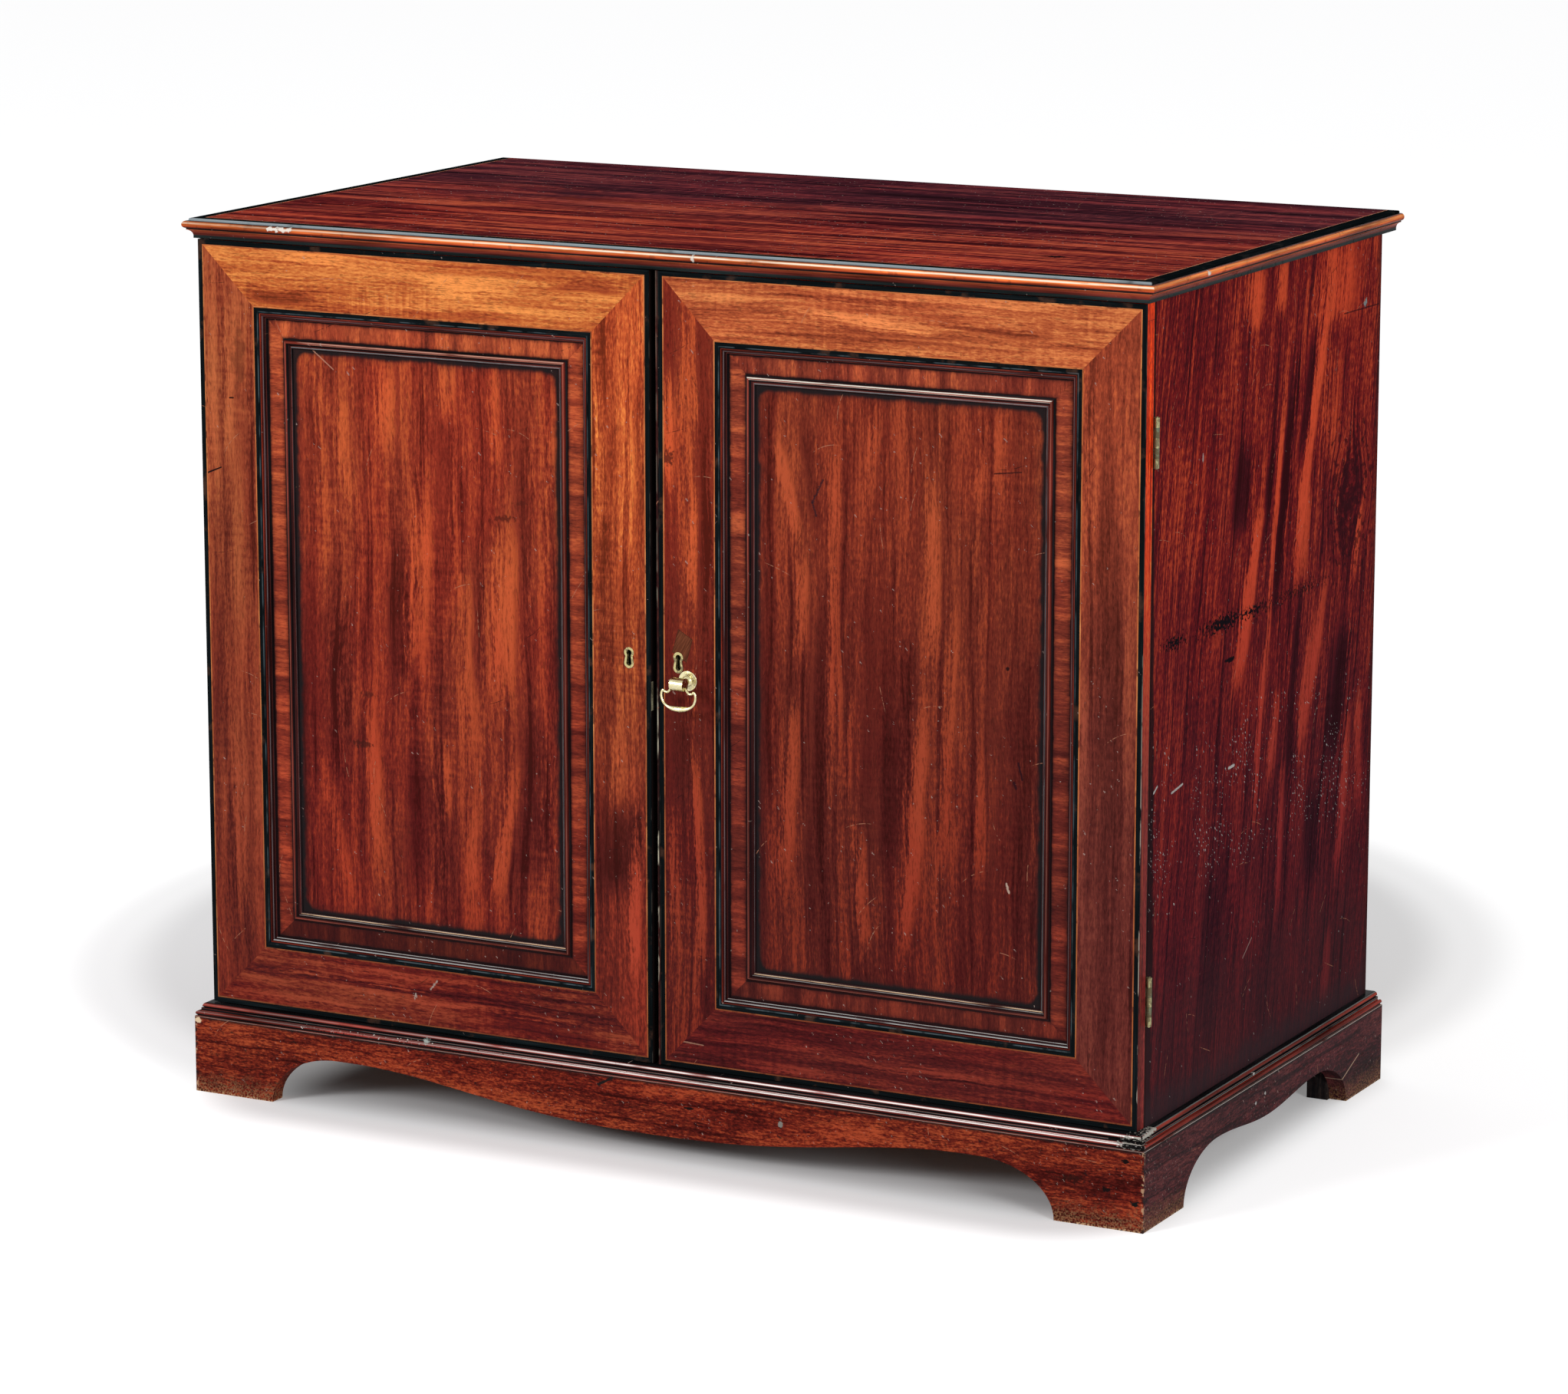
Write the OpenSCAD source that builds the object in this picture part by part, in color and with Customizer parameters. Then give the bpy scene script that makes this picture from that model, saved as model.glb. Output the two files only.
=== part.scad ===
// Side cabinet with a pair of inlaid doors, a moulded top and a bracket plinth.
// Millimetres, +Z up, front towards -Y. The origin is on the floor at the centre of the whole outline.
// Inside the modules Y runs back from the face of the doors.

/* [Cabinet] */
// Width of the carcase and of the pair of doors
body_w = 1006.3; // [860:0.1:1200]
// Depth from the face of the doors to the back edges of the sides
body_d = 564.2; // [480:0.1:680]
// Height from the floor to the top surface
total_h = 876; // [800:1:1000]
// Thickness of the sides
side_t = 18; // [16:0.5:24]
// Thickness of the bottom board
bottom_t = 18; // [16:0.5:24]
// Depth of the housings in the sides
housing = 6; // [3:0.5:8]
// Height of the rails under the top
rail_h = 20; // [16:1:28]
// Width of the rails under the top, front to back
rail_w = 60; // [40:1:90]
// Thickness of the backboards
back_t = 12; // [8:0.5:16]
// How far the backboards lie in the rebates of the sides
back_rebate = 9; // [6:0.5:11]
// Number of backboards
back_boards = 5; // [3:1:8]
// Gap between two backboards
back_gap = 1; // [0.5:0.1:2]
// Play between the laps of two backboards
lap_play = 0.3; // [0.1:0.1:0.6]

/* [Shelf] */
// Thickness of the shelf
shelf_t = 18; // [14:0.5:24]
// Height of the shelf above the bottom board
shelf_rise = 348; // [250:1:420]
// How far the shelf is set back from the front edges of the sides
shelf_back = 24; // [20:1:80]
// Play of the shelf at each side
shelf_play = 0.3; // [0.1:0.1:0.6]
// Width and height of the shelf bearers
bearer = 20; // [14:1:26]

/* [Top] */
// Thickness of the top board
top_t = 19.5; // [18:0.1:24]
// Overhang of the top behind the back edges of the sides
top_back = 29.4; // [5:0.1:50]
// How far the rounded edge moulding stands out
torus_out = 11.25; // [9:0.05:14]
// Height of the rounded edge moulding
torus_h = 7.3; // [6:0.1:8]
// How far the hollow moulding stands out at its top
cove_out = 8; // [6:0.1:8.5]
// How far the foot of the hollow moulding stands out
cove_foot = 2.9; // [2:0.1:3.5]
// Height of the plain foot of the hollow moulding
cove_foot_h = 2.2; // [1.5:0.1:3]
// Radius of the hollow
cove_r = 6.2; // [5.5:0.1:6.5]
// Width of the ebony border
border_w = 11.6; // [9:0.1:14]
// Thickness of the ebony border
border_t = 2.4; // [2:0.1:3]
// How far the ebony border reaches over the edge moulding
border_out = 6; // [4:0.1:7]
// Radius of the worn outer edge of the border
border_r = 1.3; // [0.5:0.1:1.8]

/* [Doors] */
// Thickness of a door
door_t = 17.2; // [16:0.1:20]
// Gap between the two doors
door_gap = 6.4; // [4:0.1:8]
// Gap below the doors
door_foot_gap = 1; // [0.6:0.1:2]
// Gap above the doors
door_head_gap = 1.2; // [0.6:0.1:2]
// Gap between the doors and the front edges of the sides
door_back_gap = 1.5; // [1.2:0.1:2]
// Width of the ebony edging
edging_w = 4.8; // [3:0.1:6]
// Width of a boxwood line
line_w = 1.2; // [0.8:0.1:2]
// Depth of the edging and the lines in the wood
inlay_t = 1; // [0.8:0.1:1.5]
// Width of the plain veneered face between the two boxwood lines
face_w = 55.6; // [54:0.1:70]
// Width of the bevelled ebony strip
bevel_w = 5.3; // [4:0.1:7]
// Thickness of the bevelled ebony strip
bevel_t = 1.8; // [1.5:0.1:2.4]
// Flat part of the bevelled ebony strip
bevel_flat = 3.6; // [2.5:0.1:4]
// Fall of the bevelled ebony strip
bevel_fall = 0.8; // [0.4:0.1:1.2]
// Depth of the panel behind the face of the door
panel_y = 8.3; // [8:0.1:9]
// Thickness of the panel
panel_t = 8; // [6:0.1:8.5]
// How far the panel lies behind the frame
panel_lap = 7.8; // [5:0.1:12]
// Room for the panel to swell in its rebate
panel_play = 0.5; // [0.2:0.1:1]
// Width of the crossbanding
cross_w = 18; // [12:0.1:24]
// Thickness of the crossbanding
cross_t = 1; // [0.6:0.1:1.5]
// Width of the bead down the meeting edge of the right door
bead_w = 2.9; // [2:0.1:4]
// How far that bead stands out from the face
bead_out = 0.4; // [0.2:0.1:1]

/* [Door mouldings] */
// Width of the sunk moulding round the panel
sunk_w = 6.2; // [6.1:0.1:8]
// Width of its flat edge
sunk_flat = 1; // [0.6:0.1:1.2]
// Radius of its larger bead
sunk_bead_r = 1.4; // [1.2:0.1:1.5]
// Radius of its smaller bead
sunk_small_r = 0.9; // [0.6:0.1:1]
// Depth of the groove before the larger bead
sunk_quirk = 0.8; // [0.4:0.1:1]
// Step from the larger bead down to the smaller one
sunk_step = 1.4; // [1:0.1:1.6]
// Width of the raised moulding on the panel
raised_w = 9.4; // [9.3:0.1:12]
// Depth of its crest behind the face of the door
crest_y = 3.7; // [3.2:0.1:4.5]
// Radius of its crest
crest_r = 1.7; // [1.4:0.1:1.9]
// Width of the step outside the crest
crest_step_w = 1.5; // [1:0.1:1.8]
// Height of that step above the panel
crest_step_h = 2.3; // [1.5:0.1:2.8]
// Radius of the hollow inside the crest
raised_cove_r = 3; // [2.5:0.1:3]
// Radius of the small bead beside the panel
raised_bead_r = 0.75; // [0.5:0.05:0.8]
// Height of the small bead's centre above the panel
raised_bead_h = 0.8; // [0.6:0.05:1]
// Open joint between two mitred strips
mitre_gap = 0.1; // [0.05:0.05:0.2]

/* [Base] */
// Height of the plinth boards
plinth_h = 76.9; // [70:0.1:90]
// How far the plinth stands out from the carcase
plinth_out = 14.1; // [14:0.1:18]
// Thickness of the plinth boards
plinth_t = 18; // [15:0.5:22]
// How far the plinth reaches behind the back edges of the sides
plinth_back_out = 10.6; // [0:0.1:20]
// Height of the base moulding
base_h = 13.4; // [13:0.1:18]
// How far the base moulding reaches in under the carcase
base_in = 30; // [24:1:50]
// Radius of the upper roll of the base moulding
roll_r = 3.7; // [3:0.1:4]
// How far the upper roll stands out
roll_out = 8.6; // [8:0.1:9]
// Width of the groove below the upper roll
quirk_h = 1.2; // [0.8:0.1:1.6]
// Depth of the groove below the upper roll
quirk_d = 1.4; // [0.8:0.1:2]
// How far the flat band stands out
band_out = 9.3; // [9:0.1:10.5]
// Radius of the lower roll
low_roll_r = 2; // [1.8:0.1:2.1]
// How far the lower roll stands out
low_roll_out = 13.6; // [13:0.1:13.9]
// Height of the lower roll's centre above the foot of the moulding
low_roll_h = 3.5; // [3:0.1:3.8]
// How far the foot of the moulding stands out
base_foot_out = 12; // [11.6:0.1:12.4]
// Height of the thin ledge at its foot
ledge_h = 0.6; // [0.4:0.1:1]
// Rise of the front apron at its centre
apron_low = 25; // [15:0.1:35]
// Greatest rise of the front apron
apron_high = 51.5; // [40:0.1:56]
// Distance from the centre to the highest part of the front apron
apron_rise_at = 330; // [250:1:330]
// How late the wave of the front apron rises
apron_wave = 1.3; // [1:0.05:1.6]
// Width of each front foot
foot_w = 90.2; // [80:0.1:110]
// Width of the curve beside a front foot
foot_curve = 77; // [50:1:90]
// Width of each side foot, front and back
side_foot_w = 92.8; // [80:0.1:110]
// Width of the curve beside a side foot
side_curve = 78; // [50:1:85]
// Rise of the side apron at its centre
side_low = 38.4; // [25:0.1:44]
// Greatest rise of the side apron
side_high = 47.5; // [45:0.1:56]
// Height of the plain back rail above the floor
back_rail_z = 30; // [15:1:45]
// Thickness of the glue blocks in the feet
block_t = 22; // [16:1:28]
// Length of the glue blocks in the rear feet
rear_block = 80; // [50:1:90]

/* [Hinges] */
// Length of a hinge
hinge_len = 46.5; // [36:0.5:60]
// Height of the lower hinges above the foot of the door
hinge_low = 96.2; // [60:0.1:140]
// Distance of the upper hinges below the head of the door
hinge_high = 103.8; // [60:0.1:140]
// Number of knuckles of a hinge
knuckles = 5; // [3:2:7]
// Radius of the knuckles
knuckle_r = 2.5; // [2.2:0.1:2.6]
// Distance of the pin outside the side of the cabinet
pin_out = 2.8; // [2.8:0.1:3.4]
// Radius of the pin
pin_r = 1.2; // [1:0.1:1.4]
// Running clearance round the pin
pin_fit = 0.05; // [0.02:0.01:0.1]
// Gap between two knuckles
knuckle_gap = 0.2; // [0.1:0.05:0.4]
// How far the pin stands out at each end
pin_tip = 0.6; // [0.3:0.1:1.5]
// Width of a leaf over the wood
leaf_w = 14; // [12:0.5:15]
// Thickness of a leaf
leaf_t = 1.2; // [1:0.1:1.3]
// Gap between the closed leaves
leaf_gap = 0.3; // [0.2:0.05:0.4]
// Screws in a leaf
leaf_screws = 3; // [2:1:3]
// Distance of the end screws from the ends of the leaf
screw_end = 8; // [6:0.5:12]
// Distance of the screws from the middle of the leaf, away from the pin
screw_off = 0.5; // [0:0.1:1]

/* [Screws] */
// Radius of a screw's shank
screw_r = 1.3; // [1:0.1:1.5]
// Radius of a screw's head
screw_head_r = 2.4; // [2:0.1:2.6]
// Length of a screw
screw_len = 11; // [8:0.5:12]
// Clearance round a screw
screw_fit = 0.05; // [0.02:0.01:0.1]
// Width of the slot in a screw's head
slot_w = 0.6; // [0.4:0.1:0.8]
// Depth of the slot in a screw's head
slot_d = 0.5; // [0.3:0.1:0.7]

/* [Lock] */
// Distance of the keyholes from the meeting edges
key_in = 23.3; // [22:0.1:26]
// Height of the keyholes above the foot of the doors
key_z = 394.1; // [300:0.1:500]
// Distance between the centres of the two round ends of a keyhole
key_len = 10; // [8:0.1:12]
// Height of a keyhole's waist above its middle
key_waist_z = 1.5; // [1:0.1:2]
// Outer radius of the keyhole ring
ring_r = 5.15; // [4.8:0.05:5.5]
// Half width of the keyhole ring at its waist
ring_waist = 3.9; // [3.6:0.1:4.2]
// Inner radius of the keyhole ring
keyhole_r = 2.75; // [2.5:0.05:3]
// Half width of the keyhole at its waist
keyhole_waist = 1.95; // [1.7:0.05:2.2]
// Depth of the keyhole ring in the wood
ring_t = 4; // [3:0.1:5]
// How far the keyhole ring stands out
ring_out = 0.3; // [0.1:0.1:0.6]
// Depth of the blind keyhole in the left door
blind_key = 7; // [5:0.5:9]
// Width of the lock case
lock_w = 27; // [27:0.5:28]
// Height of the lock case
lock_h = 68; // [60:0.5:80]
// Thickness of the lock case
lock_t = 11; // [10.8:0.1:11.5]
// Height of the lock's foot above the foot of the door
lock_z = 344.7; // [342:0.1:347]
// Wall of the lock case
lock_wall = 1.5; // [1.2:0.1:1.8]
// Height of the bolt's centre above the foot of the doors
bolt_z = 358.7; // [357:0.1:360]
// Height of the lock bolt
lock_bolt_h = 18; // [14:0.5:20]
// Thickness of the lock bolt
lock_bolt_t = 5; // [4:0.1:5.5]
// Length of the lock bolt
lock_bolt_len = 23; // [21:0.5:23.5]
// Distance of the lock bolt's centre behind the face of the door
lock_bolt_y = 10; // [9.6:0.1:10.4]
// How far the drawn lock bolt lies inside the edge of the door
lock_bolt_in = 0.6; // [0.3:0.1:1]
// Travel of the lock bolt
lock_throw = 12; // [10:0.5:12]
// Running clearance round the lock bolt
lock_fit = 0.25; // [0.15:0.05:0.4]
// Clearance round the lock bolt in the left door
strike_fit = 0.8; // [0.6:0.1:1]
// Room beyond the end of the thrown lock bolt in the left door
strike_room = 5; // [3:0.5:8]
// Height of the strike plate
strike_h = 28; // [26:0.5:36]
// Width of the strike plate
strike_w = 13; // [12:0.1:14]
// Thickness of the strike plate
strike_t = 1.2; // [0.8:0.1:1.6]

/* [Door bolts] */
// Distance of the bolts from the meeting edge of the left door
bar_in = 18; // [16:0.5:30]
// Width of a bolt
bar_w = 9; // [7:0.5:11]
// Thickness of a bolt
bar_t = 5; // [4:0.5:6]
// Length of a bolt
bar_len = 90; // [80:1:120]
// Distance of a bolt's centre behind the back of the door
bar_y = 7.5; // [7:0.1:9]
// Gap between a drawn bolt and the wood that it shoots into
bar_clear = 6; // [4:0.5:8]
// Travel of a bolt
bar_throw = 16; // [14:0.5:18]
// Room beyond the end of a thrown bolt in its socket
bar_room = 1.5; // [1:0.5:3]
// Running clearance round a bolt in its guides
bar_fit = 0.2; // [0.15:0.05:0.4]
// Clearance round a bolt in its socket
bar_socket_fit = 1; // [0.8:0.1:1.5]
// Thickness of a bolt's plate
plate_t = 2; // [1.5:0.1:2.5]
// Width of a bolt's plate
plate_w = 22; // [18:0.5:26]
// Distance of the plate's end from the drawn bolt's tip
plate_end = 3; // [2:0.5:6]
// Length of a guide
guide_len = 8; // [6:0.5:12]
// Wall of a guide
guide_wall = 3; // [2:0.1:4]
// Radius of a bolt's knob
knob_r = 3.5; // [3:0.1:4]
// Length of a bolt's knob
knob_len = 7; // [5:0.5:10]

/* [Handle] */
// Distance of the handle from the meeting edge of the right door
handle_in = 33.7; // [33:0.1:36]
// Height of the handle above the foot of the door
handle_z = 377.7; // [300:0.1:450]
// Radius of the rosette
rosette_r = 9.75; // [8:0.05:11]
// Thickness of the rosette's rim
rosette_rim = 1.3; // [0.9:0.1:1.6]
// Radius of the rosette's raised step, as a share of the rosette's
rosette_step = 0.84; // [0.75:0.01:0.88]
// Height of the rosette's raised step above the door
rosette_step_t = 2.4; // [1.8:0.1:3]
// Radius of the rosette's dome, as a share of the rosette's
rosette_dome = 0.66; // [0.6:0.01:0.7]
// Radius of the barrel
barrel_r = 6.25; // [5.5:0.05:6.5]
// Length of the barrel
barrel_w = 14; // [12:0.1:16]
// Distance of the barrel's centre from the face of the door
barrel_out = 19; // [17:0.1:22]
// Radius of the neck between rosette and barrel
neck_r = 3.4; // [3:0.1:4]
// Distance of the pivot below the barrel's centre
pivot_drop = 3.5; // [3:0.1:4]
// Radius of the bail's pivots
pivot_r = 1.3; // [1:0.05:1.5]
// Running clearance round the pivots
pivot_fit = 0.05; // [0.03:0.01:0.1]
// Depth of the pivot holes
pivot_depth = 4.5; // [3:0.1:5]
// Radius of the bail's arms
bail_r = 1.25; // [1.1:0.05:1.4]
// Radius at the middle of the grip
grip_r = 2.9; // [2:0.1:3.2]
// Radius of the handle's stem through the door
stem_r = 2; // [1.5:0.1:2]
// Radius of the nut behind the door
nut_r = 3.5; // [3:0.1:4]
// Thickness of the nut
nut_t = 2.5; // [2:0.1:4]

/* [Hidden] */

$fn = 48;
mahogany = "#7a2f1e";
red_mahogany = "#8c3a20";
flame = "#9c4a26";
ebony = "#1d1b1f";
boxwood = "#d9a066";
brass = "#c9b26a";
deal = "#b08458";
dark_wood = "#2c1d16";

// Overlap of a cutter beyond the face that it cuts
eps = 0.5;
half_w = body_w / 2;
base_z = plinth_h + base_h;
top_z = total_h - top_t;
carcase_y = door_t + door_back_gap;
handle_reach = barrel_out + barrel_r;
top_end = body_d + top_back;
plinth_end = body_d + plinth_back_out;
front_y = handle_reach - (handle_reach + max(top_end, plinth_end)) / 2;
inner_w = body_w - 2 * side_t;
back_y = body_d - back_t;
shelf_z = base_z + bottom_t + shelf_rise;

door_z = base_z + door_foot_gap;
door_h = top_z - door_head_gap - door_z;
door_w = (body_w - door_gap) / 2;
// Distances from the edge of a door inwards
line_in = edging_w;
face_in = line_in + line_w;
inner_line_in = face_in + face_w;
bevel_in = inner_line_in + line_w;
stile_w = bevel_in + bevel_w;
cross_in = stile_w + sunk_w;
raised_in = cross_in + cross_w;
lap_in = stile_w - panel_lap;
cross_y = panel_y - cross_t;

// Heights of the lower ends of the hinges above the floor
hinge_feet = [door_z + hinge_low, door_z + door_h - hinge_high - hinge_len];
hinge_y = carcase_y - door_back_gap / 2;
door_leaf_y = hinge_y - leaf_gap / 2 - leaf_t;
carcase_leaf_y = hinge_y + leaf_gap / 2;
knuckle_h = hinge_len / knuckles;
screw_x = leaf_w / 2 + screw_off;
screw_head_h = screw_head_r - screw_r;

bar_tip_up = top_z - rail_h - bar_clear;
bar_tip_low = base_z + bottom_t + bar_clear;
socket_y = door_t + bar_y;
bar_socket = bar_throw - bar_clear + bar_room;
strike_depth = lock_throw - lock_bolt_in - door_gap + strike_room;
bail_pivot_z = -pivot_drop;

// Moves what was drawn from the face of the doors into the cabinet's own frame
module from_front() {
    translate([0, front_y, 0]) children();
}

// Repeats on the left what is drawn on the right
module both_sides() {
    children();
    mirror([1, 0, 0]) children();
}

// A flat outline in X and Y, from height z0 to z1
module plan(z0, z1) {
    translate([0, 0, z0]) linear_extrude(z1 - z0) children();
}

// A flat outline in X and Z, from depth y0 to y1
module elevation(y0, y1) {
    translate([0, y1, 0]) rotate([90, 0, 0]) linear_extrude(y1 - y0) children();
}

// A box between two corners
module box(low, high) {
    translate(low) cube(high - low);
}

// Strips round the front and both sides. Children are the section, with X outwards from the carcase
// and Y upwards. The front strip is mitred to the two side strips.
module front_strip(out, in, z0, z1) {
    intersection() {
        translate([-half_w - out, 0, 0]) mirror([0, 1, 0]) rotate([90, 0, 90])
            linear_extrude(body_w + 2 * out) children();
        plan(z0 - eps, z1 + eps) polygon([
            [-half_w - out, -out], [half_w + out, -out],
            [half_w - in, in], [-half_w + in, in]]);
    }
}

module side_strip(out, in, z0, z1, end) {
    intersection() {
        translate([half_w, end, 0]) rotate([90, 0, 0]) linear_extrude(end + out) children();
        plan(z0 - eps, z1 + eps) polygon([
            [half_w + out + eps, -out + mitre_gap - eps], [half_w + out + eps, end + eps],
            [half_w - in, end + eps], [half_w - in, in + mitre_gap]]);
    }
}

module three_strips(out, in, z0, z1, end) {
    front_strip(out, in, z0, z1) children();
    both_sides() side_strip(out, in, z0, z1, end) children();
}

// The four bars of a rectangular frame. Children are the section, with X inwards from the outer
// edge and Y backwards from the face. Each bar is cut on the lines between outer and inner corners.
// outer and inner are [left, bottom, right, top].
module frame_bar(side, outer, inner, gap = 0) {
    ol = outer[0];
    ob = outer[1];
    or = outer[2];
    ot = outer[3];
    corners = side == "left" ? [[ol, ob], [inner[0], inner[1]], [inner[0], inner[3]], [ol, ot]]
            : side == "right" ? [[or, ob], [or, ot], [inner[2], inner[3]], [inner[2], inner[1]]]
            : side == "bottom" ? [[ol + gap, ob], [or - gap, ob],
                                  [inner[2] - gap, inner[1]], [inner[0] + gap, inner[1]]]
            : [[ol + gap, ot], [inner[0] + gap, inner[3]], [inner[2] - gap, inner[3]], [or - gap, ot]];
    intersection() {
        if (side == "left")
            translate([ol, 0, ob]) linear_extrude(ot - ob) children();
        else if (side == "right")
            translate([or, 0, ob]) mirror([1, 0, 0]) linear_extrude(ot - ob) children();
        else if (side == "bottom")
            translate([ol, 0, ob]) mirror([1, 0, -1]) linear_extrude(or - ol) children();
        else
            translate([ol, 0, ot]) mirror([0, 0, 1]) mirror([1, 0, -1]) linear_extrude(or - ol) children();
        elevation(-eps, door_t + eps) polygon(corners);
    }
}

module frame_ring(outer, w, gap = mitre_gap) {
    inner = [outer[0] + w, outer[1] + w, outer[2] - w, outer[3] - w];
    for (side = ["left", "right", "bottom", "top"]) frame_bar(side, outer, inner, gap) children();
}

// Rectangle of a door, drawn in by a distance on every side and by skip at the meeting edge
function door_rect(in, skip = 0) = [in, in, door_w - in - skip, door_h - in];

// Places a door: X from its hinged edge, Y from its face, Z from its foot
module left_door() {
    from_front() translate([-half_w, 0, door_z]) children();
}

module right_door() {
    mirror([1, 0, 0]) left_door() children();
}

// X from the meeting edge inwards
module from_meeting() {
    translate([door_w, 0, 0]) mirror([1, 0, 0]) children();
}

module side_panel() {
    difference() {
        box([half_w - side_t, carcase_y, base_z], [half_w, body_d, top_z]);
        box([half_w - side_t - eps, carcase_y - eps, base_z - eps],
            [half_w - side_t + housing, back_y, base_z + bottom_t]);
        for (y = [carcase_y, back_y - rail_w])
            box([half_w - side_t - eps, y - (y == carcase_y ? eps : 0), top_z - rail_h],
                [half_w - side_t + housing, y + rail_w, top_z + eps]);
        box([half_w - side_t - eps, back_y, base_z - eps],
            [half_w - side_t + back_rebate, body_d + eps, top_z + eps]);
        for (z = hinge_feet) {
            box([half_w - leaf_w, carcase_y - eps, z],
                [half_w + eps, carcase_leaf_y + leaf_t, z + hinge_len]);
            carcase_screw_places(z) screw_hole();
        }
    }
}

module left_side() {
    color(mahogany) from_front() mirror([1, 0, 0]) side_panel();
}

module right_side() {
    color(mahogany) from_front() side_panel();
}

module bolt_socket(z0, z1) {
    x = -door_gap / 2 - bar_in;
    box([x - bar_w / 2 - bar_socket_fit, socket_y - bar_t / 2 - bar_socket_fit, z0],
        [x + bar_w / 2 + bar_socket_fit, socket_y + bar_t / 2 + bar_socket_fit, z1]);
}

module bottom_board() {
    top = base_z + bottom_t;
    half = inner_w / 2 + housing;
    color(red_mahogany) from_front() difference() {
        box([-half, carcase_y, base_z], [half, back_y, top]);
        bolt_socket(top - bar_socket, top + eps);
    }
}

module top_rail(y) {
    half = inner_w / 2 + housing;
    box([-half, y, top_z - rail_h], [half, y + rail_w, top_z]);
}

module top_front_rail() {
    color(deal) from_front() difference() {
        top_rail(carcase_y);
        bolt_socket(top_z - rail_h - eps, top_z - rail_h + bar_socket);
    }
}

module top_back_rail() {
    color(deal) from_front() top_rail(back_y - rail_w);
}

// Boards side by side, each with a lap over the next
module backboards() {
    half = inner_w / 2 + back_rebate;
    pitch = 2 * half / back_boards;
    lap = back_t / 2;
    color(deal) from_front() for (i = [0 : back_boards - 1]) {
        x0 = -half + i * pitch;
        x1 = x0 + pitch - back_gap;
        first = i == 0;
        last = i == back_boards - 1;
        plan(base_z, top_z) polygon([
            [first ? x0 : x0 + lap + back_gap, back_y], [last ? half : x1 + lap, back_y],
            [last ? half : x1 + lap, back_y + lap - lap_play], [last ? half : x1, back_y + lap - lap_play],
            [last ? half : x1, body_d], [x0, body_d],
            [x0, back_y + lap], [first ? x0 : x0 + lap + back_gap, back_y + lap]]);
    }
}

module shelf() {
    half = inner_w / 2 - shelf_play;
    color(deal) from_front()
        box([-half, carcase_y + shelf_back, shelf_z], [half, back_y, shelf_z + shelf_t]);
}

module shelf_bearers() {
    color(deal) from_front() both_sides()
        box([inner_w / 2 - bearer, carcase_y + shelf_back, shelf_z - bearer],
            [inner_w / 2, back_y, shelf_z]);
}

module top_board() {
    rebate_in = border_w - border_out + line_w;
    color(mahogany) from_front() difference() {
        box([-half_w, 0, top_z], [half_w, top_end, total_h]);
        difference() {
            box([-half_w - eps, -eps, total_h - border_t], [half_w + eps, top_end + eps, total_h + eps]);
            box([-half_w + rebate_in - line_w, rebate_in - line_w, total_h - border_t - eps],
                [half_w - rebate_in + line_w, top_end + 2 * eps, total_h + 2 * eps]);
        }
        difference() {
            box([-half_w - eps, -eps, total_h - inlay_t], [half_w + eps, top_end + eps, total_h + eps]);
            box([-half_w + rebate_in, rebate_in, total_h - inlay_t - eps],
                [half_w - rebate_in, top_end + 2 * eps, total_h + 2 * eps]);
        }
    }
}

module top_ebony_band() {
    in = border_w - border_out;
    bottom = total_h - border_t;
    color(ebony) from_front() three_strips(border_out, in, bottom, total_h, top_end) {
        union() {
            translate([-in, bottom]) square([border_w - border_r, border_t]);
            translate([-in, bottom]) square([border_w, border_t - border_r]);
            translate([border_out - border_r, total_h - border_r]) intersection() {
                circle(border_r);
                square(border_r);
            }
        }
    }
}

module top_boxwood_line() {
    in = border_w - border_out;
    color(boxwood) from_front() three_strips(-in, in + line_w, total_h - inlay_t, total_h, top_end)
        translate([-in - line_w, total_h - inlay_t]) square([line_w, inlay_t]);
}

module top_edge_moulding() {
    r = torus_h / 2;
    top = total_h - border_t;
    color(red_mahogany) from_front() three_strips(torus_out, 0, top - torus_h, top, top_end)
        union() {
            translate([0, top - torus_h]) square([torus_out - r, torus_h]);
            translate([torus_out - r, top - r]) circle(r);
        }
}

module under_moulding() {
    top = total_h - border_t - torus_h;
    color(mahogany) from_front() three_strips(cove_out, 0, top_z, top, top_end)
        difference() {
            translate([0, top_z]) square([cove_out, top - top_z]);
            translate([cove_foot + cove_r, top_z + cove_foot_h]) circle(cove_r);
            translate([cove_foot, top_z - eps]) square([cove_out, cove_foot_h + eps]);
        }
}

// Section of the base moulding: upper roll, groove, flat band, lower roll and foot
module base_section() {
    roll_z = base_z - roll_r;
    band_h = roll_z - quirk_h - plinth_h - low_roll_h;
    low_roll_neck = low_roll_out - low_roll_r;
    translate([-base_in, plinth_h]) square([base_in + roll_out - quirk_d, base_h - roll_r]);
    translate([-base_in, roll_z]) square([base_in + roll_out - roll_r, roll_r]);
    translate([roll_out - roll_r, roll_z]) intersection() {
        circle(roll_r);
        square(roll_r);
    }
    translate([-base_in, roll_z - eps]) square([base_in + roll_out - quirk_d, 2 * eps]);
    translate([-base_in, plinth_h + low_roll_h]) square([base_in + band_out, band_h]);
    translate([low_roll_neck, plinth_h + low_roll_h]) circle(low_roll_r);
    translate([-base_in, plinth_h]) square([base_in + low_roll_neck, low_roll_h + low_roll_r - ledge_h]);
    translate([-base_in, plinth_h]) square([base_in + base_foot_out, low_roll_h]);
    translate([-base_in, plinth_h]) square([base_in + plinth_out, ledge_h]);
}

module base_moulding() {
    color(mahogany) from_front() {
        three_strips(plinth_out, base_in, plinth_h, base_z, plinth_end) base_section();
        box([-half_w + base_in + mitre_gap, plinth_end - base_in, plinth_h],
            [half_w - base_in - mitre_gap, plinth_end, base_z]);
    }
}

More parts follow.
